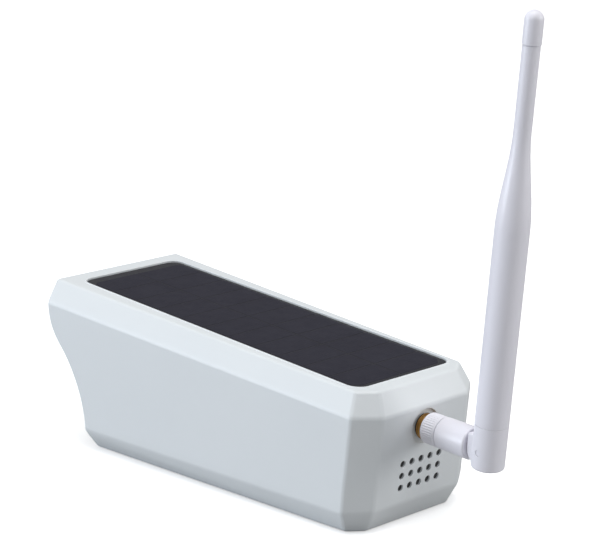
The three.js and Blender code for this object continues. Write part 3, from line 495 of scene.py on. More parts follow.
class Finishes:
    """Every finish on the object, each made once."""

    # Each finish's edge strength and edge colour set its painted highlight on edges.
    SHELL = MouldedFinish(
        "shell_plastic",
        color=(0.785, 0.818, 0.835),
        drifted=(0.76, 0.795, 0.815),
        roughness=0.46,
        edge=0.35,
        edge_highlight_color=(0.86, 0.885, 0.90),
    )
    ANTENNA = MouldedFinish(
        "antenna_plastic",
        color=(0.88, 0.868, 0.935),
        drifted=(0.85, 0.84, 0.91),
        roughness=0.38,
        grain_depth=0.00001,
        edge=0.3,
        edge_highlight_color=(0.88, 0.87, 0.92),
        subsurface=0.05,
    )
    FACE = MouldedFinish(
        "face_black",
        color=(0.006, 0.006, 0.008),
        drifted=(0.010, 0.010, 0.012),
        roughness=0.10,
        rough_spread=0.03,
        grain_strength=0.04,
        edge=0.2,
        edge_highlight_color=(0.03, 0.03, 0.035),
        coat=0.6,
        coat_roughness=0.03,
    )
    BLACK = MouldedFinish(
        "inner_black",
        color=(0.016, 0.016, 0.018),
        drifted=(0.024, 0.024, 0.026),
        roughness=0.5,
        edge=0.3,
        edge_highlight_color=(0.06, 0.06, 0.065),
    )
    RUBBER = MouldedFinish(
        "black_rubber",
        color=(0.016, 0.016, 0.017),
        drifted=(0.028, 0.028, 0.03),
        roughness=0.78,
        grain_depth=0.00005,
        edge=0.2,
        edge_highlight_color=(0.05, 0.05, 0.05),
        sheen=0.2,
    )
    SILICONE = MouldedFinish(
        "pale_silicone",
        color=(0.60, 0.62, 0.64),
        drifted=(0.54, 0.56, 0.585),
        roughness=0.66,
        grain_depth=0.00003,
        edge=0.2,
        edge_highlight_color=(0.72, 0.73, 0.75),
        sheen=0.25,
        subsurface=0.1,
    )
    MILKY = MouldedFinish(
        "milky_dome",
        color=(0.84, 0.85, 0.83),
        drifted=(0.80, 0.81, 0.80),
        roughness=0.42,
        edge=0.0,
        subsurface=0.35,
        transmission=0.15,
    )
    WRAP = MouldedFinish(
        "cell_wrap",
        color=(0.02, 0.12, 0.30),
        drifted=(0.03, 0.15, 0.35),
        roughness=0.3,
        edge=0.1,
    )
    PAPER = MouldedFinish(
        "cone_paper",
        color=(0.03, 0.028, 0.026),
        drifted=(0.045, 0.042, 0.04),
        roughness=0.9,
        grain_depth=0.0001,
        edge=0.0,
    )
    FILM = MouldedFinish(
        "panel_film",
        color=(0.014, 0.0135, 0.018),
        drifted=(0.018, 0.017, 0.023),
        roughness=0.5,
        grain_scale=900.0,
        grain_depth=0.00004,
        edge=0.1,
        edge_highlight_color=(0.06, 0.06, 0.07),
    )
    CELL = CellFinish("solar_cell", color=(0.019, 0.018, 0.029), pale=(0.025, 0.024, 0.037))
    BRASS = MetalFinish("gold_brass", (0.60, 0.33, 0.10), (0.38, 0.19, 0.06), 0.26)
    STEEL = MetalFinish("plated_steel", (0.55, 0.56, 0.57), (0.40, 0.41, 0.43), 0.26)
    BOARD = BoardFinish("circuit_board")
    WINDOW = GlassFinish("window_glass", (0.80, 0.84, 0.90))
    LAMP = GlassFinish("lamp_resin", (0.45, 0.30, 0.40), 0.08)
    ELEMENT = GlassFinish("lens_element", (0.55, 0.45, 0.75))

    def __init__(self) -> None:
        """Starts with no material made."""
        self._made: dict[str, bpy.types.Material] = {}

    def dress(self, piece: bpy.types.Object, finish) -> bpy.types.Object:
        """Gives a piece one finish.

        Args:
            piece: The mesh object.
            finish: One of the finishes above.

        Returns:
            The same piece.
        """
        if finish.name not in self._made:
            self._made[finish.name] = finish.material()
        material = self._made[finish.name]
        if piece.data.materials:
            for index in range(len(piece.data.materials)):
                piece.data.materials[index] = material
        else:
            piece.data.materials.append(material)
        return piece


FINISHES = Finishes()

# ------------------------------------------------------------------ mesh tools


def object_of(name: str, mesh: bmesh.types.BMesh) -> bpy.types.Object:
    """Turns a bmesh into a linked object and frees it.

    Args:
        name: The piece's name.
        mesh: The geometry, in metres.

    Returns:
        The new object.
    """
    bmesh.ops.recalc_face_normals(mesh, faces=mesh.faces)
    data = bpy.data.meshes.new(name)
    mesh.to_mesh(data)
    mesh.free()
    made = bpy.data.objects.new(name, data)
    bpy.context.scene.collection.objects.link(made)
    return made


def smooth(piece: bpy.types.Object, angle: float = 32.0) -> bpy.types.Object:
    """Shades a piece smooth except over edges sharper than an angle, in degrees."""
    for face in piece.data.polygons:
        face.use_smooth = True
    piece.data.set_sharp_from_angle(angle=math.radians(angle))
    return piece


def weighted(piece: bpy.types.Object) -> bpy.types.Object:
    """Keeps broad flats flat where they meet a round edge."""
    modifier = piece.modifiers.new("weighted", "WEIGHTED_NORMAL")
    modifier.keep_sharp = True
    modifier.weight = 80
    return piece


def applied(piece: bpy.types.Object) -> bpy.types.Object:
    """Applies a piece's modifiers to its mesh."""
    graph = bpy.context.evaluated_depsgraph_get()
    made = bpy.data.meshes.new_from_object(piece.evaluated_get(graph))
    old = piece.data
    piece.modifiers.clear()
    piece.data = made
    bpy.data.meshes.remove(old)
    return piece


def carve(piece: bpy.types.Object, tool: bpy.types.Object, way: str = "DIFFERENCE") -> bpy.types.Object:
    """Cuts one piece with another, or joins them, and discards the tool.

    Args:
        piece: The piece that stays.
        tool: The piece used up.
        way: DIFFERENCE, UNION or INTERSECT.

    Returns:
        The changed piece.
    """
    modifier = piece.modifiers.new("carve", "BOOLEAN")
    modifier.operation = way
    modifier.solver = "EXACT"
    modifier.object = tool
    bpy.context.view_layer.update()
    applied(piece)
    bpy.data.objects.remove(tool)
    return piece


def rounded(piece: bpy.types.Object, radius: float, steps: int = 3, angle: float = 40.0):
    """Rounds a piece's sharp edges.

    Args:
        piece: The piece.
        radius: In millimetres.
        steps: Segments across each rounding.
        angle: Only edges sharper than this, in degrees.

    Returns:
        The changed piece.
    """
    modifier = piece.modifiers.new("round", "BEVEL")
    modifier.width = radius * MM
    modifier.segments = steps
    modifier.limit_method = "ANGLE"
    modifier.angle_limit = math.radians(angle)
    modifier.use_clamp_overlap = True
    return applied(piece)


def eased_profile(profile: Sequence[Point2], radius: float, steps: int = 3) -> list[Point2]:
    """Rounds the inner corners of a lathe profile.

    Args:
        profile: (radius, height) points.
        radius: How far from each corner the rounding starts, in the profile's own units.
        steps: Segments across each rounding.

    Returns:
        The eased profile, with the same ends.
    """
    made = [profile[0]]
    for before, corner, after in zip(profile, profile[1:], profile[2:]):
        a, b, c = Vector(before), Vector(corner), Vector(after)
        reach = min(radius, 0.45 * (a - b).length, 0.45 * (c - b).length)
        start = b + (a - b).normalized() * reach
        end = b + (c - b).normalized() * reach
        for step in range(steps + 1):
            t = step / steps
            point = start.lerp(b, t).lerp(b.lerp(end, t), t)
            made.append((point.x, point.y))
    made.append(profile[-1])
    return made


def turned(
    name: str,
    profile: Sequence[Point2],
    place: Matrix = Matrix.Identity(4),
    sides: int = 64,
    wave: Callable[[float, float], float] | None = None,
) -> bpy.types.Object:
    """A solid of revolution about its place's own Z.

    Args:
        name: The piece's name.
        profile: (radius, height) points in millimetres. It starts and ends on the axis, or closes.
        place: Where its axis stands, in metres.
        sides: Segments round it.
        wave: Scales the radius, given the angle and the height.

    Returns:
        The new object.
    """
    mesh = bmesh.new()
    columns = []
    closed = profile[0] == profile[-1]
    points = profile[:-1] if closed else profile
    for side in range(sides):
        angle = 2 * math.pi * side / sides
        column = []
        for radius, height in points:
            reach = radius * (wave(angle, height) if wave else 1.0)
            if radius < 1e-9 and columns:
                column.append(columns[0][len(column)])
                continue
            spot = Vector((reach * math.cos(angle), reach * math.sin(angle), height)) * MM
            column.append(mesh.verts.new(place @ spot))
        columns.append(column)
    count = len(points)
    spans = count if closed else count - 1
    for side in range(sides):
        near, far = columns[side], columns[(side + 1) % sides]
        for row in range(spans):
            low, high = row, (row + 1) % count
            ring = [near[low], far[low], far[high], near[high]]
            unique = list(dict.fromkeys(ring))
            if len(unique) > 2:
                mesh.faces.new(unique)
    return object_of(name, mesh)


def arc(centre: Point2, radius: Point2, start: float, sweep: float, steps: int) -> list[Point2]:
    """Points along an arc, with both its ends.

    Args:
        centre: The arc's centre.
        radius: Its radius along each of the two axes.
        start: The angle it starts at, in radians.
        sweep: How far it turns.
        steps: Its segments.

    Returns:
        The arc's points.
    """
    turns = [start + sweep * step / steps for step in range(steps + 1)]
    return [(centre[0] + radius[0] * math.cos(t), centre[1] + radius[1] * math.sin(t)) for t in turns]


def rod_profile(radius: float, low: float, high: float) -> list[Point2]:
    """The lathe profile of a plain rod."""
    return [(0.0, low), (radius, low), (radius, high), (0.0, high)]


def ring_profile(inner: float, outer: float, low: float, high: float) -> list[Point2]:
    """The lathe profile of a plain ring."""
    return [(inner, low), (outer, low), (outer, high), (inner, high), (inner, low)]


def slab(
    name: str,
    outline: Sequence[Point2],
    low: float,
    high: float,
    place: Matrix = Matrix.Identity(4),
) -> bpy.types.Object:
    """A flat outline given a thickness along its place's own Z.

    Args:
        name: The piece's name.
        outline: Its points in order, in millimetres.
        low: Where the thickness starts.
        high: Where it ends.
        place: Where its own axes stand, in metres.

    Returns:
        The new object.
    """
    mesh = bmesh.new()
    bottom = [mesh.verts.new(place @ (Vector((x, y, low)) * MM)) for x, y in outline]
    top = [mesh.verts.new(place @ (Vector((x, y, high)) * MM)) for x, y in outline]
    mesh.faces.new(bottom)
    mesh.faces.new(top)
    count = len(outline)
    for index in range(count):
        after = (index + 1) % count
        mesh.faces.new([bottom[index], bottom[after], top[after], top[index]])
    return object_of(name, mesh)


def block(name: str, low: Point3, high: Point3, place: Matrix = Matrix.Identity(4)) -> bpy.types.Object:
    """A box between two opposite corners, in millimetres."""
    outline = [(low[0], low[1]), (high[0], low[1]), (high[0], high[1]), (low[0], high[1])]
    return slab(name, outline, low[2], high[2], place)


def round_rect(half_x: float, low_y: float, high_y: float, radius: float, steps: int = 10) -> list[Point2]:
    """The outline of a rectangle with round corners, anticlockwise.

    Args:
        half_x: Half its width.
        low_y: Its lower edge.
        high_y: Its upper edge.
        radius: Of its corners.
        steps: Segments in each corner.

    Returns:
        The outline's points.
    """
    corners = [
        (half_x - radius, high_y - radius, 0),
        (radius - half_x, high_y - radius, 1),
        (radius - half_x, low_y + radius, 2),
        (half_x - radius, low_y + radius, 3),
    ]
    points = []
    for x, y, quarter in corners:
        for step in range(steps + 1):
            angle = (quarter + step / steps) * math.pi / 2
            points.append((x + radius * math.cos(angle), y + radius * math.sin(angle)))
    return points


def swept(name: str, path: Sequence[Point2], section: Sequence[Point2], place: Matrix) -> bpy.types.Object:
    """A closed bead that runs along a closed flat path.

    Args:
        name: The piece's name.
        path: The path's points, anticlockwise, in millimetres.
        section: (outward, up) points of the bead's section, in order.
        place: Where the path's own axes stand, in metres.

    Returns:
        The new object.
    """
    mesh = bmesh.new()
    rings = []
    count = len(path)
    for index in range(count):
        here = Vector(path[index])
        along = (Vector(path[(index + 1) % count]) - Vector(path[index - 1])).normalized()
        outward = Vector((along.y, -along.x))
        ring = []
        for out, up in section:
            spot = here + outward * out
            ring.append(mesh.verts.new(place @ (Vector((spot.x, spot.y, up)) * MM)))
        rings.append(ring)
    size = len(section)
    for index in range(count):
        near, far = rings[index], rings[(index + 1) % count]
        for row in range(size):
            after = (row + 1) % size
            mesh.faces.new([near[row], far[row], far[after], near[after]])
    return object_of(name, mesh)


def merged(name: str, pieces: Iterable[bpy.types.Object]) -> bpy.types.Object:
    """Collects several separate meshes into one object and discards the originals."""
    mesh = bmesh.new()
    for piece in list(pieces):
        mesh.from_mesh(piece.data)
        bpy.data.objects.remove(piece)
    return object_of(name, mesh)


def settle(piece: bpy.types.Object, body: str, slot: str, finish, *stands_for: str) -> bpy.types.Object:
    """Dresses a finished piece, lets it ride on its body and reports it.

    Args:
        piece: The mesh object.
        body: The frame body it moves with.
        slot: The record's material slot. Not used.
        finish: Its finish.
        *stands_for: The frame nodes it replaces.

    Returns:
        The same piece.
    """
    FINISHES.dress(piece, finish)
    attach(piece, body)
    if stands_for:
        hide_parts(*stands_for)
    LOG.info("%s: %d faces on %s", piece.name, len(piece.data.polygons), body)
    return piece


# ------------------------------------------------------------------ the housing's outline


@dataclass(frozen=True)
class Ends:
    """A size that runs evenly from the rear of the housing to its front."""

    rear: float
    front: float

    def at(self, share: float) -> float:
        """The size at a share of the way forward."""
        return self.rear + (self.front - self.rear) * share

    def less(self, amount: float) -> "Ends":
        """The same run, smaller by an amount."""
        return Ends(self.rear - amount, self.front - amount)


@dataclass(frozen=True)
class Level:
    """One of the level rings that the housing's facets run between."""

    height: Ends
    half: Ends
    setback: float
    corner_along: float
    corner_across: float


@dataclass
class HousingForm:
    """The faceted outline that the shell, the hood, the panel and the faceplate share."""

    length: float = 186.0
    crown: Ends = Ends(56.6, 70.7)
    crown_half: Ends = Ends(28.7, 33.4)
    side_half: Ends = Ends(33.2, 39.4)
    sole_half: Ends = Ends(28.4, 32.4)
    top_bevel: float = 8.9
    sole_bevel: float = 9.3
    rear_lean: float = 5.1
    crown_setback: float = 4.3
    sole_setback: float = 10.5
    wall: float = 2.4
    deck: float = 4.8
    hood_reach: float = 22.2
    hood_rake: float = 0.6
    rear_y: float = field(default_factory=lambda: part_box("housing_shell")[1].y / MM)

    def y_at(self, along: float) -> float:
        """The Y of a place so far forward of the rearmost point."""
        return self.rear_y - along

    def crown_height(self, along: float) -> float:
        """The height of the sloping top."""
        return self.crown.at(along / self.length)

    @property
    def top_slope(self) -> float:
        """How steeply the top rises to the front, in radians."""
        return math.atan((self.crown.front - self.crown.rear) / self.length)

    @property
    def rear_tilt(self) -> float:
        """How far the rear face leans from upright, in radians."""
        return math.atan(self.rear_lean / self._face_span)

    @property
    def _face_span(self) -> float:
        """The height of the rear face between its bevels."""
        return self.crown.rear - self.top_bevel - self.sole_bevel

    def face_along(self, height: float) -> float:
        """How far forward the rear face is at a height."""
        return self.rear_lean * (self.crown.rear - self.top_bevel - height) / self._face_span

    def levels(self, wall: float, deck: float) -> list[Level]:
        """The four rings, each shrunk by a wall and a deck thickness.

        Args:
            wall: How far in from the sides and the rear.
            deck: How far down from the top.

        Returns:
            The crown, shoulder, waist and sole rings.
        """
        shoulder = self.crown.less(self.top_bevel + wall / 3)
        waist = self.sole_bevel + wall / 3
        side = self.side_half.less(wall)
        return [
            Level(self.crown.less(deck), self.crown_half.less(wall), self.crown_setback + wall, 5.5, 7.5),
            Level(shoulder, side, wall, 7.7, 9.7),
            Level(Ends(waist, waist), side, self.rear_lean + wall, 7.7, 9.7),
            Level(Ends(wall, wall), self.sole_half.less(wall), self.sole_setback + wall, 5.3, 6.2),
        ]

    def hull(self, name: str, front: float, wall: float = 0.0, deck: float = 0.0) -> bpy.types.Object:
        """The convex faceted body from its rear to a place along it.

        Args:
            name: The piece's name.
            front: How far forward it runs.
            wall: How far in from the sides and the rear.
            deck: How far down from the top.

        Returns:
            The new object.
        """
        mesh = bmesh.new()
        for level in self.levels(wall, deck):
            corner = level.setback + level.corner_along
            for side in (-1, 1):
                spots = [
                    (level.half.at(front / self.length), front),
                    (level.half.at(corner / self.length), corner),
                    (level.half.at(level.setback / self.length) - level.corner_across, level.setback),
                ]
                for across, along in spots:
                    height = level.height.at(along / self.length)
                    mesh.verts.new(Vector((side * across, self.y_at(along), height)) * MM)
        bmesh.ops.convex_hull(mesh, input=mesh.verts)
        bmesh.ops.dissolve_limit(
            mesh, angle_limit=math.radians(2.5), verts=mesh.verts, edges=mesh.edges, delimit=set()
        )
        return object_of(name, mesh)

    def hood_line(self, steps: int = 26) -> list[Point2]:
        """The S-shaped edge of the hood seen from the side, from its brow to its foot.

        Args:
            steps: Segments in each half of the S.

        Returns:
            (Y, Z) points.
        """
        tip = self.length - self.hood_rake
        brow = self.crown_height(self.length) - self.top_bevel

        def spot(back: float, up: float) -> Vector:
            """A point so far back along the hood and so far up to its brow."""
            return Vector((self.y_at(tip - back * self.hood_reach), up * brow))

        line = [(self.y_at(self.length), self.crown_height(self.length) + 1), tuple(spot(0, 1))]
        halves = [
            (spot(0, 1), spot(0, 0.85), spot(0.126, 0.78), spot(0.378, 0.683)),
            (spot(0.378, 0.683), spot(0.667, 0.57), spot(0.99, 0.356), spot(1, 0.13)),
        ]
        for a, b, c, d in halves:
            for step in range(1, steps + 1):
                t = step / steps
                s = 1 - t
                point = a * s**3 + b * 3 * s * s * t + c * 3 * s * t * t + d * t**3
                line.append((point.x, point.y))
        line.append(tuple(spot(1, -0.1)))
        return line

    def panel_place(self) -> Matrix:
        """The rear middle of the panel, in the plane of the sloping top, with +Z out of it."""
        spot = Vector((0, self.y_at(SolarPanel.rear), self.crown_height(SolarPanel.rear))) * MM
        return Matrix.Translation(spot) @ Matrix.Rotation(-self.top_slope, 4, "X")


def rear_place(form: HousingForm, x: float, height: float, sunk: float, tilt: float) -> Matrix:
    """A place on the rear face whose own +Z points out of the housing.

    Args:
        form: The housing's outline.
        x: Sideways, in millimetres.
        height: Above the underside.
        sunk: How far in from the face, along the housing.
        tilt: How far it points down from level, in radians.

    Returns:
        The place.
    """
    spot = Vector((x, form.y_at(form.face_along(height) + sunk), height)) * MM
    return Matrix.Translation(spot) @ Matrix.Rotation(-math.pi / 2 - tilt, 4, "X")


def facing_place(x: float, y: float, z: float) -> Matrix:
    """A place whose own +Z points forward, in millimetres."""
    return Matrix.Translation(Vector((x, y, z)) * MM) @ Matrix.Rotation(math.pi / 2, 4, "X")


def upright_place(x: float, y: float, z: float = 0.0) -> Matrix:
    """A place whose own axes are the frame's, in millimetres."""
    return Matrix.Translation(Vector((x, y, z)) * MM)


def middle(node: str) -> Vector:
    """The middle of a frame node's box, in millimetres."""
    low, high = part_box(node)
    return (low + high) / (2 * MM)


# Maps an outline drawn in Y and Z to the frame, with its thickness along X.
FROM_SIDE = Matrix(((0, 0, 1, 0), (1, 0, 0, 0), (0, 1, 0, 0), (0, 0, 0, 1)))

# ------------------------------------------------------------------ housing


@dataclass
class Housing:
    """The white moulded shell with its hood, recess, jack seat, sound holes and port bay."""

    form: HousingForm
    edge_radius: float = 1.1
    rim_radius: float = 0.75
    recess_gap: float = 0.3
    recess_depth: float = 2.8
    seat_radius: float = 7.0
    seat_flare: float = 0.2
    seat_sunk: float = 0.9
    bore_radius: float = 3.4
    hole_radius: float = 1.4
    hole_pitch: float = 5.0
    hole_rows: int = 3
    hole_columns: int = 5
    hole_height: float = 21.2
    bay_half: Point2 = (14.0, 5.5)
    bay_depth: float = 12.0
    rebate_margin: float = 3.0
    rebate_deep: float = 1.8
    rebate_corner: float = 1.6
    collar_wall: float = 1.6
    joined: float = 0.5
    insert_hole: float = 5.8
    insert_deep: float = 9.3
    insert_wall: float = 2.0
    insert_roof: float = 1.5
    gasket_seat: Point2 = (-58.4, -55.9)
    seat_ledge: float = 3.0
    past_front: Point2 = (14.0, 20.0)
    hole_ease: float = 0.12
    screen_depth: float = 0.8
    screen_thick: float = 0.4
    screw_head_room: float = 3.1
    screw_bore: float = 1.5

    def build(self) -> None:
        """Builds and dresses the shell and the lip round the panel."""
        length, (past_skin, past_cavity) = self.form.length, self.past_front
        shell = rounded(self.form.hull("shell", length + past_skin), self.edge_radius, 4, 9)
        carve(shell, self.form.hull("cavity", length + past_cavity, self.form.wall, self.form.deck))
        self._trim_hood(shell)
        self._add_inside(shell)
        self._cut_top(shell)
        self._cut_rear(shell)
        self._cut_underside(shell)
        weighted(smooth(shell, 34))
        settle(shell, "housing", "housing", Finishes.SHELL, "housing_shell")
        self._add_lip()

    def _trim_hood(self, shell: bpy.types.Object) -> None:
        """Cuts the front to the S-shaped hood edge and eases that edge.

        Args:
            shell: The hollow shell.
        """
        line = self.form.hood_line()
        front = self.form.y_at(self.form.length + 30)
        outline = [*line, (front, line[-1][1]), (front, line[0][1])]
        carve(shell, slab("hood_cut", outline, -50, 50, FROM_SIDE))
        mesh = bmesh.new()
        mesh.from_mesh(shell.data)
        marks = [Vector(spot) * MM for spot in line]

        def on_line(spot: Vector) -> bool:
            """Whether a point lies on the cut."""
            flat = Vector((spot.y, spot.z))
            for a, b in zip(marks, marks[1:]):
                span = b - a
                t = max(0.0, min(1.0, (flat - a).dot(span) / span.length_squared))
                if (flat - a - span * t).length < 0.00001:
                    return True
            return False

        held = {vert for vert in mesh.verts if on_line(vert.co)}
        edges = [
            edge
            for edge in mesh.edges
            if edge.verts[0] in held
            and edge.verts[1] in held
            and len(edge.link_faces) == 2
            and edge.calc_face_angle() > math.radians(35)
        ]
        bmesh.ops.bevel(
            mesh,
            geom=edges,
            offset=self.rim_radius * MM,
            offset_type="OFFSET",
            segments=3,
            profile=0.5,
            affect="EDGES",
            clamp_overlap=False,
        )
        bmesh.ops.remove_doubles(mesh, verts=mesh.verts, dist=0.000004)
        bmesh.ops.dissolve_degenerate(mesh, edges=mesh.edges, dist=0.000004)
        mesh.to_mesh(shell.data)
        mesh.free()

    def _add_inside(self, shell: bpy.types.Object) -> None:
        """Joins the bay's collar, the thread boss and the faceplate's seat to the shell."""
        wall, deck, length = self.form.wall, self.form.deck, self.form.length
        half_x, half_y = self.bay_half
        bay_y = middle("port_board").y
        floor, round_bay = wall - self.joined, self.collar_wall
        low = (-half_x - round_bay, bay_y - half_y - round_bay, floor)
        high = (half_x + round_bay, bay_y + half_y + round_bay, self.bay_depth)
        carve(shell, block("collar", low, high), "UNION")
        insert = middle("tripod_insert")
        rod = rod_profile(self.insert_hole + self.insert_wall, floor, self.insert_deep + self.insert_roof)
        carve(shell, turned("boss", rod, upright_place(insert.x, insert.y), 48), "UNION")
        front, back = self.gasket_seat
        seat = self.form.hull("seat", length, floor, deck - self.joined)
        carve(seat, block("keep", (-60, front, 0), (60, back, 90)), "INTERSECT")
        ledge = self.seat_ledge
        carve(seat, self.form.hull("seat_hole", length + 9, wall + ledge, deck + ledge))
        carve(shell, seat, "UNION")

    def _cut_top(self, shell: bpy.types.Object) -> None:
        """Cuts the panel's recess into the sloping top."""
        panel = SolarPanel(self.form)
        outline = panel.outline(self.recess_gap)
        carve(shell, slab("recess", outline, -self.recess_depth, 5, self.form.panel_place()))

    def _cut_rear(self, shell: bpy.types.Object) -> None:
        """Cuts the jack's seat, its bore and the sound holes, and sets dark screens in the holes."""
        place = Antenna.seat_place()
        bore, radius, flare = self.bore_radius, self.seat_radius, self.seat_flare
        seat = [(0, -12), (bore, -12), (bore, 0), (radius, 0), (radius, self.seat_sunk - flare)]
        seat += [(radius + flare, self.seat_sunk + flare), (radius + flare, 8), (0, 8)]
        tools = [turned("seat_cut", seat, place, 96)]
        tilt = self.form.rear_tilt
        speaker = rear_place(self.form, 0, self.hole_height, self.form.wall, tilt)
        skin = self.form.wall * math.cos(tilt)
        hole, eased = self.hole_radius, self.hole_radius + self.hole_ease
        profile = [(0, -4), (hole, -4), (hole, skin - 0.1), (eased, skin + 0.02), (eased, skin + 2)]
        profile.append((0, skin + 2))
        screens = []
        deep = self.screen_depth + self.screen_thick
        disc = rod_profile(hole - 0.02, skin - deep, skin - self.screen_depth)
        for row in range(self.hole_rows):
            for column in range(self.hole_columns):
                x = (column - (self.hole_columns - 1) / 2) * self.hole_pitch
                up = (row - (self.hole_rows - 1) / 2) * self.hole_pitch
                spot = speaker @ upright_place(x, up)
                tools.append(turned("hole", profile, spot, 28))
                screens.append(turned("screen", disc, spot, 28))
        carve(shell, merged("holes", tools))
        settle(smooth(merged("sound_screens", screens)), "housing", "rubber", Finishes.RUBBER)

    def _cut_underside(self, shell: bpy.types.Object) -> None:
        """Cuts the port bay, its cover's rebate, the thread hole and the screw holes."""
        half_x, half_y = self.bay_half
        bay_y = middle("port_board").y
        bay = block("bay", (-half_x, bay_y - half_y, -1), (half_x, bay_y + half_y, self.bay_depth + 1))
        carve(shell, bay)
        reach_x, reach_y = half_x + self.rebate_margin, half_y + self.rebate_margin
        corners = round_rect(reach_x, -reach_y, reach_y, self.rebate_corner, 6)
        outline = [(x, y + bay_y) for x, y in corners]
        carve(shell, slab("rebate", outline, -1, self.rebate_deep))
        insert = middle("tripod_insert")
        radius, mouth, deep = self.insert_hole, self.insert_hole + 0.6, self.insert_deep
        hole = [(0, -1), (mouth, -1), (mouth, -0.1), (radius, 0.5), (radius, deep), (0, deep)]
        carve(shell, turned("thread_hole", hole, upright_place(insert.x, insert.y), 64))
        head, bore = self.screw_head_room, self.screw_bore
        profile = [(0, -1), (head + 0.4, -1), (head + 0.4, -0.1), (head, 0.3), (head, 1.5)]
        profile += [(bore, 1.5), (bore, 6), (0, 6)]
        tools = []
        for index in range(1, 5):
            spot = middle(f"chassis_screw_{index}")
            tools.append(turned("screw_hole", profile, upright_place(spot.x, spot.y), 40))
        carve(shell, merged("screw_holes", tools))

    def _add_lip(self) -> None:
        """Lays a fine raised lip on the top round the panel's recess."""
        outline = SolarPanel(self.form).outline(self.recess_gap)
        section = [(0.0, -0.25), (1.05, -0.25), (0.95, 0.12), (0.7, 0.26), (0.3, 0.26), (0.06, 0.14)]
        lip = swept("panel_lip", outline, section, self.form.panel_place())
        weighted(smooth(lip, 60))
        settle(lip, "housing", "housing", Finishes.SHELL)


# ------------------------------------------------------------------ solar panel


@dataclass
class SolarPanel:
    """The dark laminate in the top: a film-covered base with two rows of eleven cells."""

    form: HousingForm
    rear: float = 11.2
    front_margin: float = 8.2
    half_width: float = 26.0
    corner: float = 5.5
    sunk: float = 0.4
    thick: float = 0.8
    cell_step: float = 0.09
    cell_rows: int = 11
    cell_pitch: float = 14.5
    first_gap: float = 2.6
    cell_gap: float = 0.55
    side_margin: float = 1.7
    cell_thick: float = 0.05
    corner_cut: Point2 = (3.2, 2.2)
    cell_corner: float = 0.35

    @property
    def length(self) -> float:
        """The panel's length along the sloping top."""
        flat = self.form.length - self.front_margin - self.rear
        return flat / math.cos(self.form.top_slope)

    def outline(self, grow: float = 0.0) -> list[Point2]:
        """The panel's outline, grown all round, from its rear edge at 0 forward along -Y."""
        return round_rect(self.half_width + grow, -self.length - grow, grow, self.corner + grow)

    def build(self) -> None:
        """Builds and dresses the film-covered base and its cells."""
        place = self.form.panel_place()
        top = -self.sunk
        base = slab("panel_base", self.outline(), top - self.thick, top - self.cell_step, place)
        rounded(base, 0.2, 2, 50)
        weighted(smooth(base, 40))
        settle(base, "housing", "solar", Finishes.FILM, "solar_laminate")
        cells = []
        cell_width = self.half_width - self.side_margin - self.cell_gap / 2
        for row in range(self.cell_rows):
            start = -self.first_gap - row * self.cell_pitch
            for side in (-1, 1):
                cell = self._cell(side, cell_width, start, row)
                under = top - self.cell_step - self.cell_thick
                cells.append(slab("cell", cell, under, top, place))
        piece = merged("solar_cells", cells)
        rounded(piece, 0.08, 1, 50)
        weighted(smooth(piece, 40))
        settle(piece, "housing", "solar", Finishes.CELL)

    def _cell(self, side: int, width: float, start: float, row: int) -> list[Point2]:
        """One cell's outline, with the panel's round corner where it lies in one.

        Args:
            side: -1 or 1.
            width: The cell's width.
            start: Its rear edge along the panel.
            row: Which row, from the rear.

        Returns:
            The outline's points.
        """
        inner = self.cell_gap / 2
        outer = inner + width
        rear = start - self.cell_gap / 2
        front = start - self.cell_pitch + self.cell_gap / 2
        first_cut, last_cut = self.corner_cut
        cut = first_cut if row == 0 else self.cell_corner
        cut_front = last_cut if row == self.cell_rows - 1 else self.cell_corner
        points = [(inner, front), (outer - cut_front, front)]
        points += [(outer, front + cut_front), (outer, rear - cut), (outer - cut, rear), (inner, rear)]
        return [(side * x, y) for x, y in (points if side > 0 else reversed(points))]


# ------------------------------------------------------------------ antenna


def joint(name: str) -> dict:
    """A joint of the frame's record, by name."""
    return next(one for one in frame["joints"] if one["name"] == name)


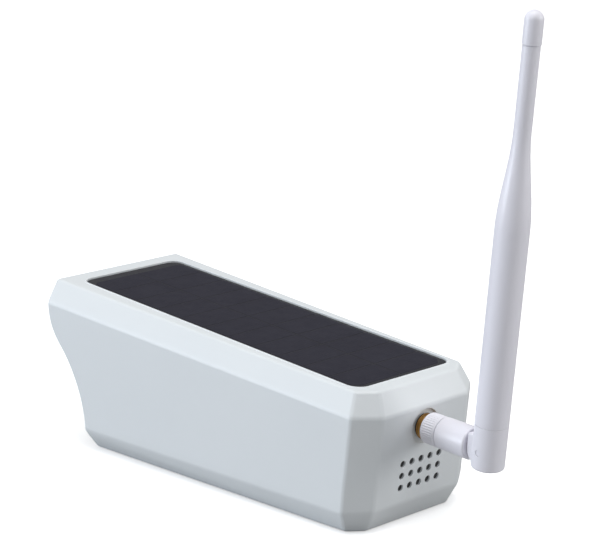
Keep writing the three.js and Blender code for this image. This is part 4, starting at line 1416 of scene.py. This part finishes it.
@dataclass
class Antenna:
    """The jack, ribbed coupling nut, elbow and hinged whip on the rear face."""

    hinge_reach: float = 33.5
    flange_radius: float = 5.2
    flange_low: float = 0.95
    flange_high: float = 2.8
    nut_start: float = 3.7
    nut_length: float = 7.0
    nut_radius: float = 6.15
    core_radius: float = 5.1
    ribs: int = 40
    rib_depth: float = 0.2
    elbow_start_radius: float = 6.25
    elbow_end_radius: float = 6.4
    knuckle_radius: float = 7.2
    knuckle_half: float = 4.5
    knuckle_top: float = 5.3
    tongue_half: float = 1.8
    tongue_radius: float = 4.4
    elbow_clear: float = 0.5
    foot_edge: float = 1.0
    whip_radius: float = 6.45
    base_top: float = 10.1
    shoulder: float = 85.2
    neck: float = 122.0
    neck_radius: float = 3.28
    cap_foot: float = 152.7
    cap_radius: float = 3.48
    tip: float = 165.0
    gap: float = 0.3
    ring_gap: float = 0.07
    bore_radius: float = 3.4
    thread_crest: float = 3.1
    thread_root: float = 2.86
    thread_pitch: float = 0.5
    pin_radius: float = 1.2
    pin_hole: float = 1.28
    pin_room: float = 1.5
    plug_room: float = 3.2

    @staticmethod
    def seat_place() -> Matrix:
        """The bottom of the jack's seat, with +Z out along the connector."""
        swivel = joint("antenna_swivel")
        out = Vector(swivel["axis"]).normalized()
        side = Vector((1, 0, 0))
        turn = Matrix((side, out.cross(side), out)).transposed().to_4x4()
        return Matrix.Translation(Vector(swivel["pos_m"])) @ turn

    def whip_place(self) -> Matrix:
        """The hinge pin, with +Z up the whip and +X along the pin."""
        tilt = joint("whip_tilt")
        lean = math.radians(tilt["range_deg"][1])
        out = self.seat_place().to_3x3().to_4x4()
        turn = out @ Matrix.Rotation(math.pi / 2 - lean, 4, "X")
        return Matrix.Translation(Vector(tilt["pos_m"])) @ turn

    def build(self) -> None:
        """Builds and dresses every piece from the jack to the whip's cap."""
        self._build_jack()
        self._build_nut()
        self._build_elbow()
        self._build_whip_base()
        self._build_whip()

    def _build_jack(self) -> None:
        """The sealing ring and the brass jack with its thread."""
        place = self.seat_place()
        seal_ring = ring_profile(self.bore_radius, self.flange_radius - 0.35, 0.3, 0.8)
        seal_profile = eased_profile(seal_ring, 0.15)
        seal = turned("jack_gasket", [*seal_profile[:-1], seal_profile[0]], place, 64)
        settle(smooth(seal), "housing", "rubber", Finishes.RUBBER, "jack_seal")
        profile: list[Point2] = [(0, -11), (1.5, -11), (1.5, -8), (3.0, -8)]
        crest, root = self.thread_crest, self.thread_root
        profile += self._thread(crest, root, -7.8, -0.4)
        low, high, wide = self.flange_low, self.flange_high, self.flange_radius
        profile += [(crest, 0.2), (crest, low), (wide - 0.15, low), (wide, low + 0.15)]
        profile += [(wide, high - 0.2), (wide - 0.2, high), (crest, high)]
        tip = self.nut_start + 4.2
        profile += self._thread(root, crest, high + 0.2, tip - 0.4)
        profile += [(3.0, tip), (1.8, tip), (1.8, tip - 3), (0, tip - 3)]
        jack = turned("brass_jack", profile, place, 64)
        settle(smooth(jack), "housing", "gold_brass", Finishes.BRASS, "antenna_jack")

    def _thread(self, first: float, second: float, low: float, high: float) -> list[Point2]:
        """A run of thread in a lathe profile.

        Args:
            first: The radius that each turn starts at.
            second: The radius half a turn on.
            low: Where the run starts.
            high: No turn starts past this.

        Returns:
            The run's points.
        """
        points: list[Point2] = []
        height = low
        while height < high:
            points += [(first, height), (second, height + self.thread_pitch / 2)]
            height += self.thread_pitch
        return points

    def _build_nut(self) -> None:
        """The white ribbed coupling nut and its brass core."""
        place = self.seat_place()
        start, end = self.nut_start, self.nut_start + self.nut_length
        inner = self.core_radius + self.gap
        outer = self.nut_radius

        def rib(angle: float, height: float) -> float:
            """Lengthwise ribs that die out at both ends."""
            into = min(height - start, end - height)
            depth = self.rib_depth * min(1.0, max(0.0, (into - 0.5) / 0.7))
            return 1 - 0.5 * (depth / outer) * (1 - math.cos(self.ribs * angle))

        skin = [(inner, start), (outer - 0.3, start), (outer, start + 0.4), (outer, start + 1.2)]
        skin += [(outer, end - 1.2), (outer, end - 0.25), (outer - 0.2, end), (inner, end)]
        profile = eased_profile(skin, 0.2)
        sleeve = turned("ribbed_nut", [*profile, profile[0]], place, 264, rib)
        settle(smooth(sleeve, 50), "coupling_nut", "antenna_plastic", Finishes.ANTENNA, "coupling_nut")
        bore, core_rim = self.bore_radius, self.core_radius
        rim = [(bore, start - 0.3), (core_rim - 0.2, start - 0.3), (core_rim, start - 0.1)]
        rim += [(core_rim, end - 0.3), (bore, end - 0.3), (bore, start - 0.3)]
        core = turned("nut_core", rim, place, 64)
        settle(smooth(core), "coupling_nut", "gold_brass", Finishes.BRASS, "coupling_nut_core")

    def _build_elbow(self) -> None:
        """The short plug body with the tongue that the whip turns on."""
        place = self.seat_place()
        start = self.nut_start + self.nut_length + self.gap
        end = self.hinge_reach - self.knuckle_radius - self.elbow_clear
        first, last = self.elbow_start_radius, self.elbow_end_radius
        skin = [(0, start), (first - 0.25, start), (first, start + 0.3)]
        skin += [(last, end - 0.5), (last - 0.4, end), (0, end)]
        elbow = turned("elbow_body", eased_profile(skin, 0.2), place, 96)
        reach = self.tongue_radius
        tip = arc((0, self.hinge_reach), (reach, reach), 0, math.pi, 32)
        outline = [(reach, end - 1), *tip, (-reach, end - 1)]
        tongue = slab("tongue", outline, -self.tongue_half, self.tongue_half, place @ FROM_SIDE)
        carve(elbow, rounded(tongue, 0.3, 2, 60), "UNION")
        across = place @ upright_place(0, 0, self.hinge_reach) @ Matrix.Rotation(math.pi / 2, 4, "Y")
        carve(elbow, turned("pin_hole", rod_profile(self.pin_room, -10, 10), across, 32))
        carve(elbow, turned("core_hole", rod_profile(self.plug_room, 0, start + 6.3), place, 48))
        weighted(smooth(elbow, 36))
        settle(elbow, "elbow", "antenna_plastic", Finishes.ANTENNA, "elbow")

    def _build_whip_base(self) -> None:
        """The flat foot with its flat-faced knuckle, slotted for the tongue, and the pin."""
        place = self.whip_place()
        edge, low = self.foot_edge, -self.knuckle_radius
        wide, top = self.whip_radius, self.base_top
        rim = arc((wide - edge, low + edge), (edge, edge), -math.pi / 2, math.pi / 2, 8)
        profile = [(0, low), *rim, (wide, top - 0.12), (wide - 0.1, top), (0, top)]
        base = turned("whip_foot", profile, place, 96)
        across = place @ Matrix.Rotation(math.pi / 2, 4, "Y")
        reach = self.knuckle_radius
        outline = [(0.4, self.knuckle_top), (-reach, self.knuckle_top)]
        outline += arc((0, 0), (reach, reach), math.pi, math.pi / 2 - 0.06, 24)
        inside = (reach - 0.06) / reach
        swing = [(y * inside, z * inside) for y, z in outline[2:]]
        outline.append((0.4, 0.6 - reach))
        swing += [(0.0, -20.0), (-20.0, -20.0), (-20.0, 0.0)]
        carve(base, slab("swing_room", swing[::-1], -20, 20, place @ FROM_SIDE))
        knuckle = slab("knuckle", outline, -self.knuckle_half, self.knuckle_half, place @ FROM_SIDE)
        carve(base, rounded(knuckle, 0.5, 3, 40), "UNION")
        lean = math.radians(joint("whip_tilt")["range_deg"][1])
        slot_half, slot_radius = self.tongue_half + self.gap, self.tongue_radius + self.gap
        slot_top = max(slot_radius + reach * math.tan(lean), self.knuckle_top + self.gap)
        opening = [(-20.0, -20.0), (slot_radius, -20.0)]
        opening += arc((0, 0), (slot_radius, slot_radius), 0, math.pi / 2, 16)
        opening += [(0.0, slot_top), (-20.0, slot_top)]
        carve(base, slab("slot", opening, -slot_half, slot_half, place @ FROM_SIDE))
        carve(base, turned("pin_hole", rod_profile(self.pin_hole, -12, 12), across, 32))
        weighted(smooth(base, 36))
        settle(base, "whip", "antenna_plastic", Finishes.ANTENNA, "whip_base")
        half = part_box("hinge_pin")[1].x / MM - middle("hinge_pin").x + 0.2
        pin_profile = eased_profile(rod_profile(self.pin_radius, -half, half), 0.12)
        pin = turned("pin", pin_profile, across, 32)
        settle(smooth(pin), "whip", "antenna_plastic", Finishes.ANTENNA, "hinge_pin")

    def _build_whip(self) -> None:
        """The tapered sleeve and its proud round cap."""
        place = self.whip_place()
        start = self.base_top + self.ring_gap
        wide = self.whip_radius
        profile: list[Point2] = [(0, start), (wide - 0.1, start), (wide, start + 0.12)]
        for step in range(33):
            part = step / 32
            eased = part * part * (3 - 2 * part)
            radius = wide + (self.neck_radius - wide) * eased
            profile.append((radius, self.shoulder + (self.neck - self.shoulder) * part))
        end = self.cap_foot - self.ring_gap
        profile += [(self.neck_radius, end - 0.15), (self.neck_radius - 0.12, end), (0, end)]
        sleeve = turned("whip_tube", profile, place, 72)
        weighted(smooth(sleeve, 30))
        settle(sleeve, "whip", "antenna_plastic", Finishes.ANTENNA, "whip_sleeve", "radiator")
        foot, radius = self.cap_foot, self.cap_radius
        crown = arc((0, self.tip - radius), (radius, radius), 0, math.pi / 2, 12)
        crown[-1] = (0, crown[-1][1])
        cap_profile = [(0, foot), (radius - 0.2, foot), (radius, foot + 0.25), *crown]
        cap = turned("tip_cap", cap_profile, place, 64)
        settle(smooth(cap), "whip", "antenna_plastic", Finishes.ANTENNA, "whip_cap")


# ------------------------------------------------------------------ front


@dataclass
class Front:
    """The black faceplate under the hood with its window, lamps, motion dome and screws."""

    form: HousingForm
    window_radius: float = 14.5
    window_thick: float = 1.6
    dome_rise: float = 8.0
    lamp_radius: float = 2.5
    pipe_radius: float = 1.5
    head_radius: float = 2.3
    hole_gap: float = 0.3
    bore_radius: float = 1.5
    print_inner: float = 9.2
    dome_wall: float = 1.0
    lens_radius: float = 3.0

    @property
    def dome_radius(self) -> float:
        """The motion dome's radius at its foot."""
        low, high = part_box("motion_dome")
        return (high.x - low.x) / (2 * MM)

    @property
    def face_y(self) -> float:
        """The Y of the faceplate's front."""
        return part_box("faceplate")[0].y / MM

    def place_of(self, node: str) -> Matrix:
        """A place on the faceplate's front in line with a frame node, facing forward."""
        spot = middle(node)
        return facing_place(spot.x, self.face_y, spot.z)

    def build(self) -> None:
        """Builds and dresses everything that shows under the hood."""
        self._build_plate()
        self._build_window()
        self._build_lens()
        self._build_dome()
        self._build_lamps()
        for index in range(1, 5):
            node = f"face_screw_{index}"
            Screw(self.head_radius, 1.0, 1.2, 9.0).build(node, self.place_of(node))

    def _build_plate(self) -> None:
        """The glossy plate with stepped holes."""
        gap = self.hole_gap
        plate = self.form.hull("face", self.form.length, self.form.wall + gap, self.form.deck + gap)
        low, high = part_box("faceplate")
        keep = block("keep", (-60, low.y / MM, 0), (60, high.y / MM, 90))
        carve(plate, keep, "INTERSECT")
        rounded(plate, 0.5, 3, 60)
        tools = []
        step, inner, ledge = self.window_radius + gap, self.window_radius - 1.5, -self.window_thick - gap
        window = [(0, -5), (inner, -5), (inner, ledge), (step, ledge), (step, -0.3)]
        window += [(step + 0.35, 0.05), (step + 0.35, 5), (0, 5)]
        tools.append(turned("window_hole", window, self.place_of("lens_window"), 96))
        tools.append(self._flared("motion_dome", self.dome_radius + gap, 72))
        bore, head = self.bore_radius, self.head_radius + gap
        sunk = [(0, -5), (bore, -5), (bore, -1.3), (head, -1.3), (head, -0.2)]
        sunk += [(head + 0.25, 0.05), (head + 0.25, 5), (0, 5)]
        for index in range(1, 5):
            tools.append(self._flared(f"infrared_led_{index}", self.lamp_radius + gap, 40))
            tools.append(turned("screw_hole", sunk, self.place_of(f"face_screw_{index}"), 40))
        for node in ("status_light_pipe", "light_sensor"):
            tools.append(self._flared(node, self.pipe_radius + gap, 32))
        carve(plate, merged("face_holes", tools))
        weighted(smooth(plate, 36))
        settle(plate, "housing", "faceplate", Finishes.FACE, "faceplate")

    def _flared(self, node: str, radius: float, sides: int) -> bpy.types.Object:
        """A hole's cutter with an eased rim, in line with a node."""
        flared = radius + 0.3
        profile = [(0, -5), (radius, -5), (radius, -0.25), (flared, 0.05), (flared, 5), (0, 5)]
        return turned("hole", profile, self.place_of(node), sides)

    def _build_window(self) -> None:
        """The round window: clear in the middle, with a printed black ring behind its edge."""
        place = self.place_of("lens_window")
        radius, thick = self.window_radius, self.window_thick
        glass = eased_profile(rod_profile(radius, -thick + 0.3, 0), 0.25)
        window = turned("front_window", glass, place, 96)
        settle(smooth(window), "housing", "window_glass", Finishes.WINDOW, "lens_window")
        printed = ring_profile(self.print_inner, radius, -thick, -thick + 0.22)
        print_ring = turned("window_print", printed, place, 96)
        settle(smooth(print_ring), "housing", "faceplate", Finishes.BLACK)

    def _build_lens(self) -> None:
        """The stepped barrel and its curved front element."""
        place = self.place_of("lens_barrel")
        low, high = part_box("lens_barrel")
        front = self.face_y - low.y / MM
        back = self.face_y - high.y / MM
        outer = (high.x - low.x) / (2 * MM)
        profile: list[Point2] = [(0, back), (outer - 1, back), (outer - 1, front - 5)]
        profile += [(outer - 0.15, front - 5), (outer, front - 4.85), (outer, front - 3.2)]
        profile += [(outer - 0.35, front - 3.0), (outer - 0.35, front - 2.6), (outer, front - 2.4)]
        profile += [(outer, front - 0.2), (outer - 0.2, front), (outer - 1.4, front)]
        radius, height = outer - 1.4, front
        while radius > 3.3:
            profile += [(radius - 0.12, height - 0.35), (radius - 0.5, height - 0.35)]
            radius, height = radius - 0.5, height - 0.35
        profile += [(3.1, height - 0.8), (0, height - 0.8)]
        barrel = turned("lens_rings", profile, place, 72)
        settle(smooth(barrel, 30), "housing", "inner_plastic", Finishes.BLACK, "lens_barrel")
        cup = height - 0.6
        bulge = [(0, cup), *arc((0, cup), (self.lens_radius, 1.1), 0, math.pi / 2, 8)]
        bulge[-1] = (0, cup + 1.1)
        element = turned("lens_element", bulge, place, 48)
        settle(smooth(element, 50), "housing", "window_glass", Finishes.ELEMENT)

    def _build_dome(self) -> None:
        """The milky motion dome, with its rings of fine lenslets."""
        place = self.place_of("motion_dome")
        wall, outer = self.dome_wall, self.dome_radius
        rise, inner = self.dome_rise - wall, outer - wall
        outside = arc((0, 1), (outer, rise), 0, math.pi / 2, 36)
        outside[-1] = (0, 1 + rise)
        inside = arc((0, 1), (inner, rise - wall), 0, math.pi / 2, 12)
        inside[-1] = (0, rise)
        profile = [(inner, -2.2), (outer, -2.2), *outside, *inside[::-1], (inner, -2.2)]

        def facets(angle: float, height: float) -> float:
            """Shallow lenslets in staggered rings over the dome."""
            if height <= 1.0:
                return 1.0
            ring = math.asin(min(1.0, (height - 1) / rise)) / (math.pi / 2)
            row = int(ring * 5)
            count = (18, 16, 12, 8, 5)[min(row, 4)]
            across = abs(math.sin(count * angle / 2 + row * 0.8))
            along = abs(math.sin(ring * 5 * math.pi))
            return 1 - 0.012 * (1 - min(across, along) ** 0.5) * math.cos(ring * math.pi / 2)

        dome = turned("motion_lens", profile, place, 180, facets)
        settle(smooth(dome, 60), "housing", "milky_plastic", Finishes.MILKY, "motion_dome")

    def _build_lamps(self) -> None:
        """The four infrared lamps, the light pipe and the light sensor."""
        for index in range(1, 5):
            node = f"infrared_led_{index}"
            place = self.place_of(node)
            back = self.face_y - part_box(node)[1].y / MM
            wide = self.lamp_radius
            bulb = arc((0, -1.6), (wide - 0.25, 2.0), 0, math.pi / 2, 10)
            foot = [(0, back), (wide, back), (wide, back + 0.6), (wide - 0.25, back + 0.8)]
            lamp = turned(f"lamp_{index}", [*foot, *bulb[:-1], (0, 0.4)], place, 40)
            settle(smooth(lamp, 45), "housing", "lamp_resin", Finishes.LAMP, node)
            bowl = [(0, back + 2.0), (1.5, back + 2.8), (1.7, back + 2.8), (1.7, back + 1.6)]
            cup = turned(f"lamp_cup_{index}", [*bowl, (0, back + 1.6)], place, 32)
            settle(smooth(cup), "housing", "steel", Finishes.STEEL)
        for node, name, finish, slot in (
            ("status_light_pipe", "light_pipe", Finishes.MILKY, "milky_plastic"),
            ("light_sensor", "daylight_sensor", Finishes.LAMP, "lamp_resin"),
        ):
            back = self.face_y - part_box(node)[1].y / MM
            radius = self.pipe_radius
            rod = eased_profile([(0, back), (radius, back), (radius, -0.25), (radius - 0.3, 0), (0, 0)], 0.2)
            settle(smooth(turned(name, rod, self.place_of(node), 32)), "housing", slot, finish, node)


# ------------------------------------------------------------------ screws


@dataclass
class Screw:
    """A pan-head screw with a cross recess."""

    head: float
    head_thick: float
    shank: float
    length: float
    thread_deep: float = 0.25
    cross_half: Point2 = (1.25, 0.24)
    cross_deep: float = 0.65
    cross_turn: float = 0.4

    def build(self, node: str, place: Matrix) -> None:
        """Builds and dresses the screw that stands for a node.

        Args:
            node: The frame node.
            place: The top of its head, with +Z out of it.
        """
        crest, root, under = self.shank, self.shank - self.thread_deep, -self.head_thick
        height = 0.8 - self.length
        profile: list[Point2] = [(0, -self.length), (0.4, -self.length), (root, height)]
        while height < under - 1.0:
            profile += [(crest, height + 0.25), (root, height + 0.5)]
            height += 0.5
        profile += [(crest, height + 0.3), (crest, under), (self.head, under), (self.head, under + 0.35)]
        profile += [(self.head - 0.25, -0.25), (self.head - 0.9, 0), (0, 0)]
        screw = turned(f"{node}_cross", profile, place, 40)
        arms = []
        long, wide = self.cross_half
        for turn in (self.cross_turn, self.cross_turn + math.pi / 2):
            way = place @ Matrix.Rotation(turn, 4, "Z")
            arms.append(block("arm", (-long, -wide, -self.cross_deep), (long, wide, 1), way))
        carve(arms[0], arms[1], "UNION")
        carve(screw, arms[0])
        weighted(smooth(screw, 34))
        settle(screw, "housing", "steel", Finishes.STEEL, node)


# ------------------------------------------------------------------ underside


@dataclass
class Underside:
    """The thread insert, the port cover, the sockets and the two press buttons."""

    form: HousingForm
    insert_radius: float = 5.5
    insert_bore: float = 3.2
    insert_depth: float = 9.0
    thread_pitch: float = 1.27
    thread_deep: float = 0.42
    cover_corner: float = 1.3
    cover_thick: float = 1.2
    lip_half: Point2 = (13.4, 4.9)
    lip_wall: float = 1.2
    notch_radius: float = 5.0
    notch_half: float = 3.4

    def build(self) -> None:
        """Builds and dresses what shows underneath."""
        self._build_insert()
        self._build_cover()
        self._build_sockets()
        for index in range(1, 5):
            node = f"chassis_screw_{index}"
            spot = middle(node)
            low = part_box(node)[0].z / MM
            place = upright_place(spot.x, spot.y, low) @ Matrix.Rotation(math.pi, 4, "X")
            Screw(2.8, 0.9, 1.2, 8.7).build(node, place)

    def _build_insert(self) -> None:
        """The brass stand insert with its thread grooves and flange chamfer."""
        spot = middle("tripod_insert")
        place = upright_place(spot.x, spot.y)
        profile: list[Point2] = [(self.insert_bore + 0.45, 0)]
        bore, outer, deep = self.insert_bore, self.insert_radius, self.insert_depth
        height = 0.6
        while height < deep - 0.7:
            profile += [(bore, height), (bore + self.thread_deep, height + 0.45 * self.thread_pitch)]
            height += self.thread_pitch
        profile += [(bore + 0.2, deep), (outer, deep), (outer, 0.3), (outer - 0.3, 0), profile[0]]
        insert = turned("stand_insert", profile, place, 64)
        settle(smooth(insert, 28), "housing", "gold_brass", Finishes.BRASS, "tripod_insert")

    def _build_cover(self) -> None:
        """The soft cover with a raised inner lip and a finger notch."""
        thick, wall = self.cover_thick, self.lip_wall
        low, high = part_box("port_cover")
        centre = (low + high) / (2 * MM)
        half_x, half_y = (high.x - low.x) / (2 * MM), (high.y - low.y) / (2 * MM)
        outline = round_rect(half_x, -half_y, half_y, self.cover_corner, 6)
        place = upright_place(0, centre.y)
        foot = low.z / MM
        cover = slab("port_flap", outline, foot, foot + thick, place)
        rounded(cover, 0.3, 3, 50)
        lip_x, lip_y = self.lip_half
        lip = slab("lip", round_rect(lip_x, -lip_y, lip_y, 1.0, 5), foot + 1.0, high.z / MM, place)
        inside = round_rect(lip_x - wall, -lip_y + wall, lip_y - wall, 0.6, 4)
        carve(lip, slab("hollow", inside, foot + thick, 9, place))
        carve(cover, lip, "UNION")
        finger = upright_place(0, centre.y - half_y + 1.3, foot - 4.45)
        across = finger @ Matrix.Rotation(math.pi / 2, 4, "Y")
        notch_rod = rod_profile(self.notch_radius, -self.notch_half, self.notch_half)
        carve(cover, turned("notch", notch_rod, across, 64))
        weighted(smooth(cover, 36))
        settle(cover, "port_cover", "silicone", Finishes.SILICONE, "port_cover")

    def _build_sockets(self) -> None:
        """The plated socket shells, with their tongues, and the press buttons."""
        for node, tongue_half, wall in (("charging_socket", 0.35, 0.4), ("card_socket", 0.25, 0.5)):
            low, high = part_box(node)
            low, high = low / MM, high / MM
            centre = (low + high) / 2
            half_x, half_y = (high.x - low.x) / 2, (high.y - low.y) / 2
            corner = half_y * 0.85 if node == "charging_socket" else 0.35
            place = upright_place(centre.x, centre.y)
            case = round_rect(half_x, -half_y, half_y, corner, 8)
            shell = slab(f"{node}_case", case, low.z, high.z, place)
            mouth = round_rect(half_x - wall, wall - half_y, half_y - wall, max(0.15, corner - wall), 8)
            carve(shell, slab("mouth", mouth, low.z - 1, high.z - 0.8, place))
            rounded(shell, 0.12, 2, 50)
            weighted(smooth(shell, 36))
            settle(shell, "housing", "steel", Finishes.STEEL, node)
            reach = half_x - wall - 0.55
            near, far = (-reach, -tongue_half, low.z + 0.5), (reach, tongue_half, high.z - 0.79)
            tongue = block(f"{node}_tongue", near, far, place)
            rounded(tongue, 0.1, 2, 50)
            settle(tongue, "housing", "inner_plastic", Finishes.BLACK)
        for name in ("reset", "power"):
            node = f"{name}_button"
            low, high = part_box(node)
            spot = middle(node)
            radius = (high.x - low.x) / (2 * MM)
            profile = eased_profile(rod_profile(radius, low.z / MM, high.z / MM), 0.3)
            knob = turned(f"{name}_plunger", profile, upright_place(spot.x, spot.y), 32)
            settle(smooth(knob), node, "antenna_plastic", Finishes.ANTENNA, node)


# ------------------------------------------------------------------ what the frame already shapes


@dataclass
class Inside:
    """The frame nodes whose shape is right, which only need their finish."""

    finishes: dict[str, MouldedFinish | MetalFinish | BoardFinish] = field(
        default_factory=lambda: {
            "panel_backing": Finishes.BLACK,
            "chassis": Finishes.BLACK,
            "battery_cell_left": Finishes.WRAP,
            "battery_cell_right": Finishes.WRAP,
            "battery_holder": Finishes.BLACK,
            "main_board": Finishes.BOARD,
            "radio_module": Finishes.STEEL,
            "lens_holder": Finishes.BLACK,
            "camera_board": Finishes.BOARD,
            "sensor_board": Finishes.BOARD,
            "motion_sensor": Finishes.STEEL,
            "microphone": Finishes.STEEL,
            "faceplate_gasket": Finishes.RUBBER,
            "speaker_gasket": Finishes.RUBBER,
            "speaker_basket": Finishes.STEEL,
            "speaker_cone": Finishes.PAPER,
            "speaker_magnet": Finishes.STEEL,
            "port_board": Finishes.BOARD,
            "reset_switch": Finishes.BLACK,
            "power_switch": Finishes.BLACK,
            "jack_washer": Finishes.STEEL,
            "jack_nut": Finishes.BRASS,
            "plug_core": Finishes.BRASS,
        }
    )

    def build(self) -> None:
        """Gives each of them its finish."""
        for node, finish in self.finishes.items():
            piece = frame["nodes"][node]
            FINISHES.dress(piece, finish)
            LOG.info("%s: finished as %s", node, finish.name)


# ------------------------------------------------------------------ studio


@dataclass(frozen=True)
class Lamp:
    """A broad soft lamp that looks at the object from a direction."""

    name: str
    azimuth: float
    elevation: float
    distance: float
    size: float
    watts: float
    color: Point3 = (1.0, 1.0, 1.0)


@dataclass
class Studio:
    """The pale floor, the soft lamps and the camera."""

    target: Point3 = (-0.01316, 0.00956, 0.08019)
    azimuth: float = 46.53
    elevation: float = 14.036
    roll: float = -0.474
    distance: float = 0.85
    lens: float = 124.904
    floor_reach: float = 6.0
    floor_sunk: float = 0.0002
    floor_seen: Point3 = (0.97, 0.97, 0.97)
    floor_bounced: Point3 = (0.40, 0.40, 0.40)
    floor_glow: float = 0.45
    surround: Point3 = (0.96, 0.98, 1.0)
    surround_strength: float = 0.33
    lamps: tuple[Lamp, ...] = (
        Lamp("overhead", 35.0, 82.0, 3.0, 2.6, 64.0),
        Lamp("side_fill", -38.0, 2.0, 3.0, 1.5, 66.0, (0.84, 0.91, 1.0)),
        Lamp("rear_fill", 128.0, 10.0, 3.0, 1.8, 30.0),
    )

    @staticmethod
    def direction(azimuth: float, elevation: float) -> Vector:
        """The unit vector towards an azimuth from +X and an elevation, in degrees."""
        turn, rise = math.radians(azimuth), math.radians(elevation)
        return Vector((math.cos(turn) * math.cos(rise), math.sin(turn) * math.cos(rise), math.sin(rise)))

    def build(self) -> None:
        """Builds the floor, the lamps, the surroundings and the camera."""
        self._build_floor()
        self._build_surroundings()
        for lamp in self.lamps:
            self._hang(lamp)
        self._build_camera()
        view = bpy.context.scene.view_settings
        view.view_transform = "Standard"
        view.look = "None"

    def _build_floor(self) -> None:
        """A plain pale floor that reaches past the view."""
        mesh = bmesh.new()
        reach = self.floor_reach
        corners = [(-reach, -reach), (reach, -reach), (reach, reach), (-reach, reach)]
        mesh.faces.new([mesh.verts.new((x, y, -self.floor_sunk)) for x, y in corners])
        floor = object_of("studio_floor", mesh)
        material, tree, shader = _fresh("floor_paper")
        seen = _node(tree, "LightPath").outputs["Is Camera Ray"]
        looks = {
            "Base Color": _mixed(tree, seen, _opaque(self.floor_bounced), _opaque(self.floor_seen)),
            "Emission Strength": _times(tree, seen, self.floor_glow),
            "Emission Color": _opaque((1.0, 1.0, 1.0)),
            "Roughness": 0.9,
            "Specular IOR Level": 0.1,
        }
        _set(tree, shader, looks)
        floor.data.materials.append(material)

    def _build_surroundings(self) -> None:
        """An even pale surround that lights the object softly."""
        world = bpy.data.worlds.new("studio_surround")
        world.use_nodes = True
        back = world.node_tree.nodes["Background"]
        surround = {"Color": _opaque(self.surround), "Strength": self.surround_strength}
        _set(world.node_tree, back, surround)
        bpy.context.scene.world = world

    def _hang(self, lamp: Lamp) -> None:
        """Hangs one lamp so that it faces the object."""
        data = bpy.data.lights.new(lamp.name, "AREA")
        data.shape = "DISK"
        data.size = lamp.size
        data.energy = lamp.watts
        data.color = lamp.color
        made = bpy.data.objects.new(lamp.name, data)
        bpy.context.scene.collection.objects.link(made)
        way = self.direction(lamp.azimuth, lamp.elevation)
        made.location = Vector(self.target) + way * lamp.distance
        made.rotation_euler = way.to_track_quat("Z", "Y").to_euler()

    def _build_camera(self) -> None:
        """A long-lens camera above and behind the object's side."""
        back = self.direction(self.azimuth, self.elevation)
        level = Vector((-back.y, back.x, 0)).normalized()
        up = back.cross(level)
        turn = math.radians(self.roll)
        right = level * math.cos(turn) + up * math.sin(turn)
        axes = Matrix((right, back.cross(right), back)).transposed().to_4x4()
        data = bpy.data.cameras.new("studio_camera")
        data.lens = self.lens
        data.sensor_width = 36.0
        data.clip_start = 0.01
        made = bpy.data.objects.new("studio_camera", data)
        made.matrix_world = Matrix.Translation(Vector(self.target) + back * self.distance) @ axes
        bpy.context.scene.collection.objects.link(made)
        bpy.context.scene.camera = made


def main() -> None:
    """Builds the studio and the object."""
    logging.basicConfig(level=logging.INFO, format="%(name)s: %(message)s")
    Studio().build()
    form = HousingForm()
    for part in (Housing(form), SolarPanel(form), Antenna(), Front(form), Underside(form), Inside()):
        LOG.info("building %s", type(part).__name__)
        part.build()


if __name__ == "__main__":
    main()
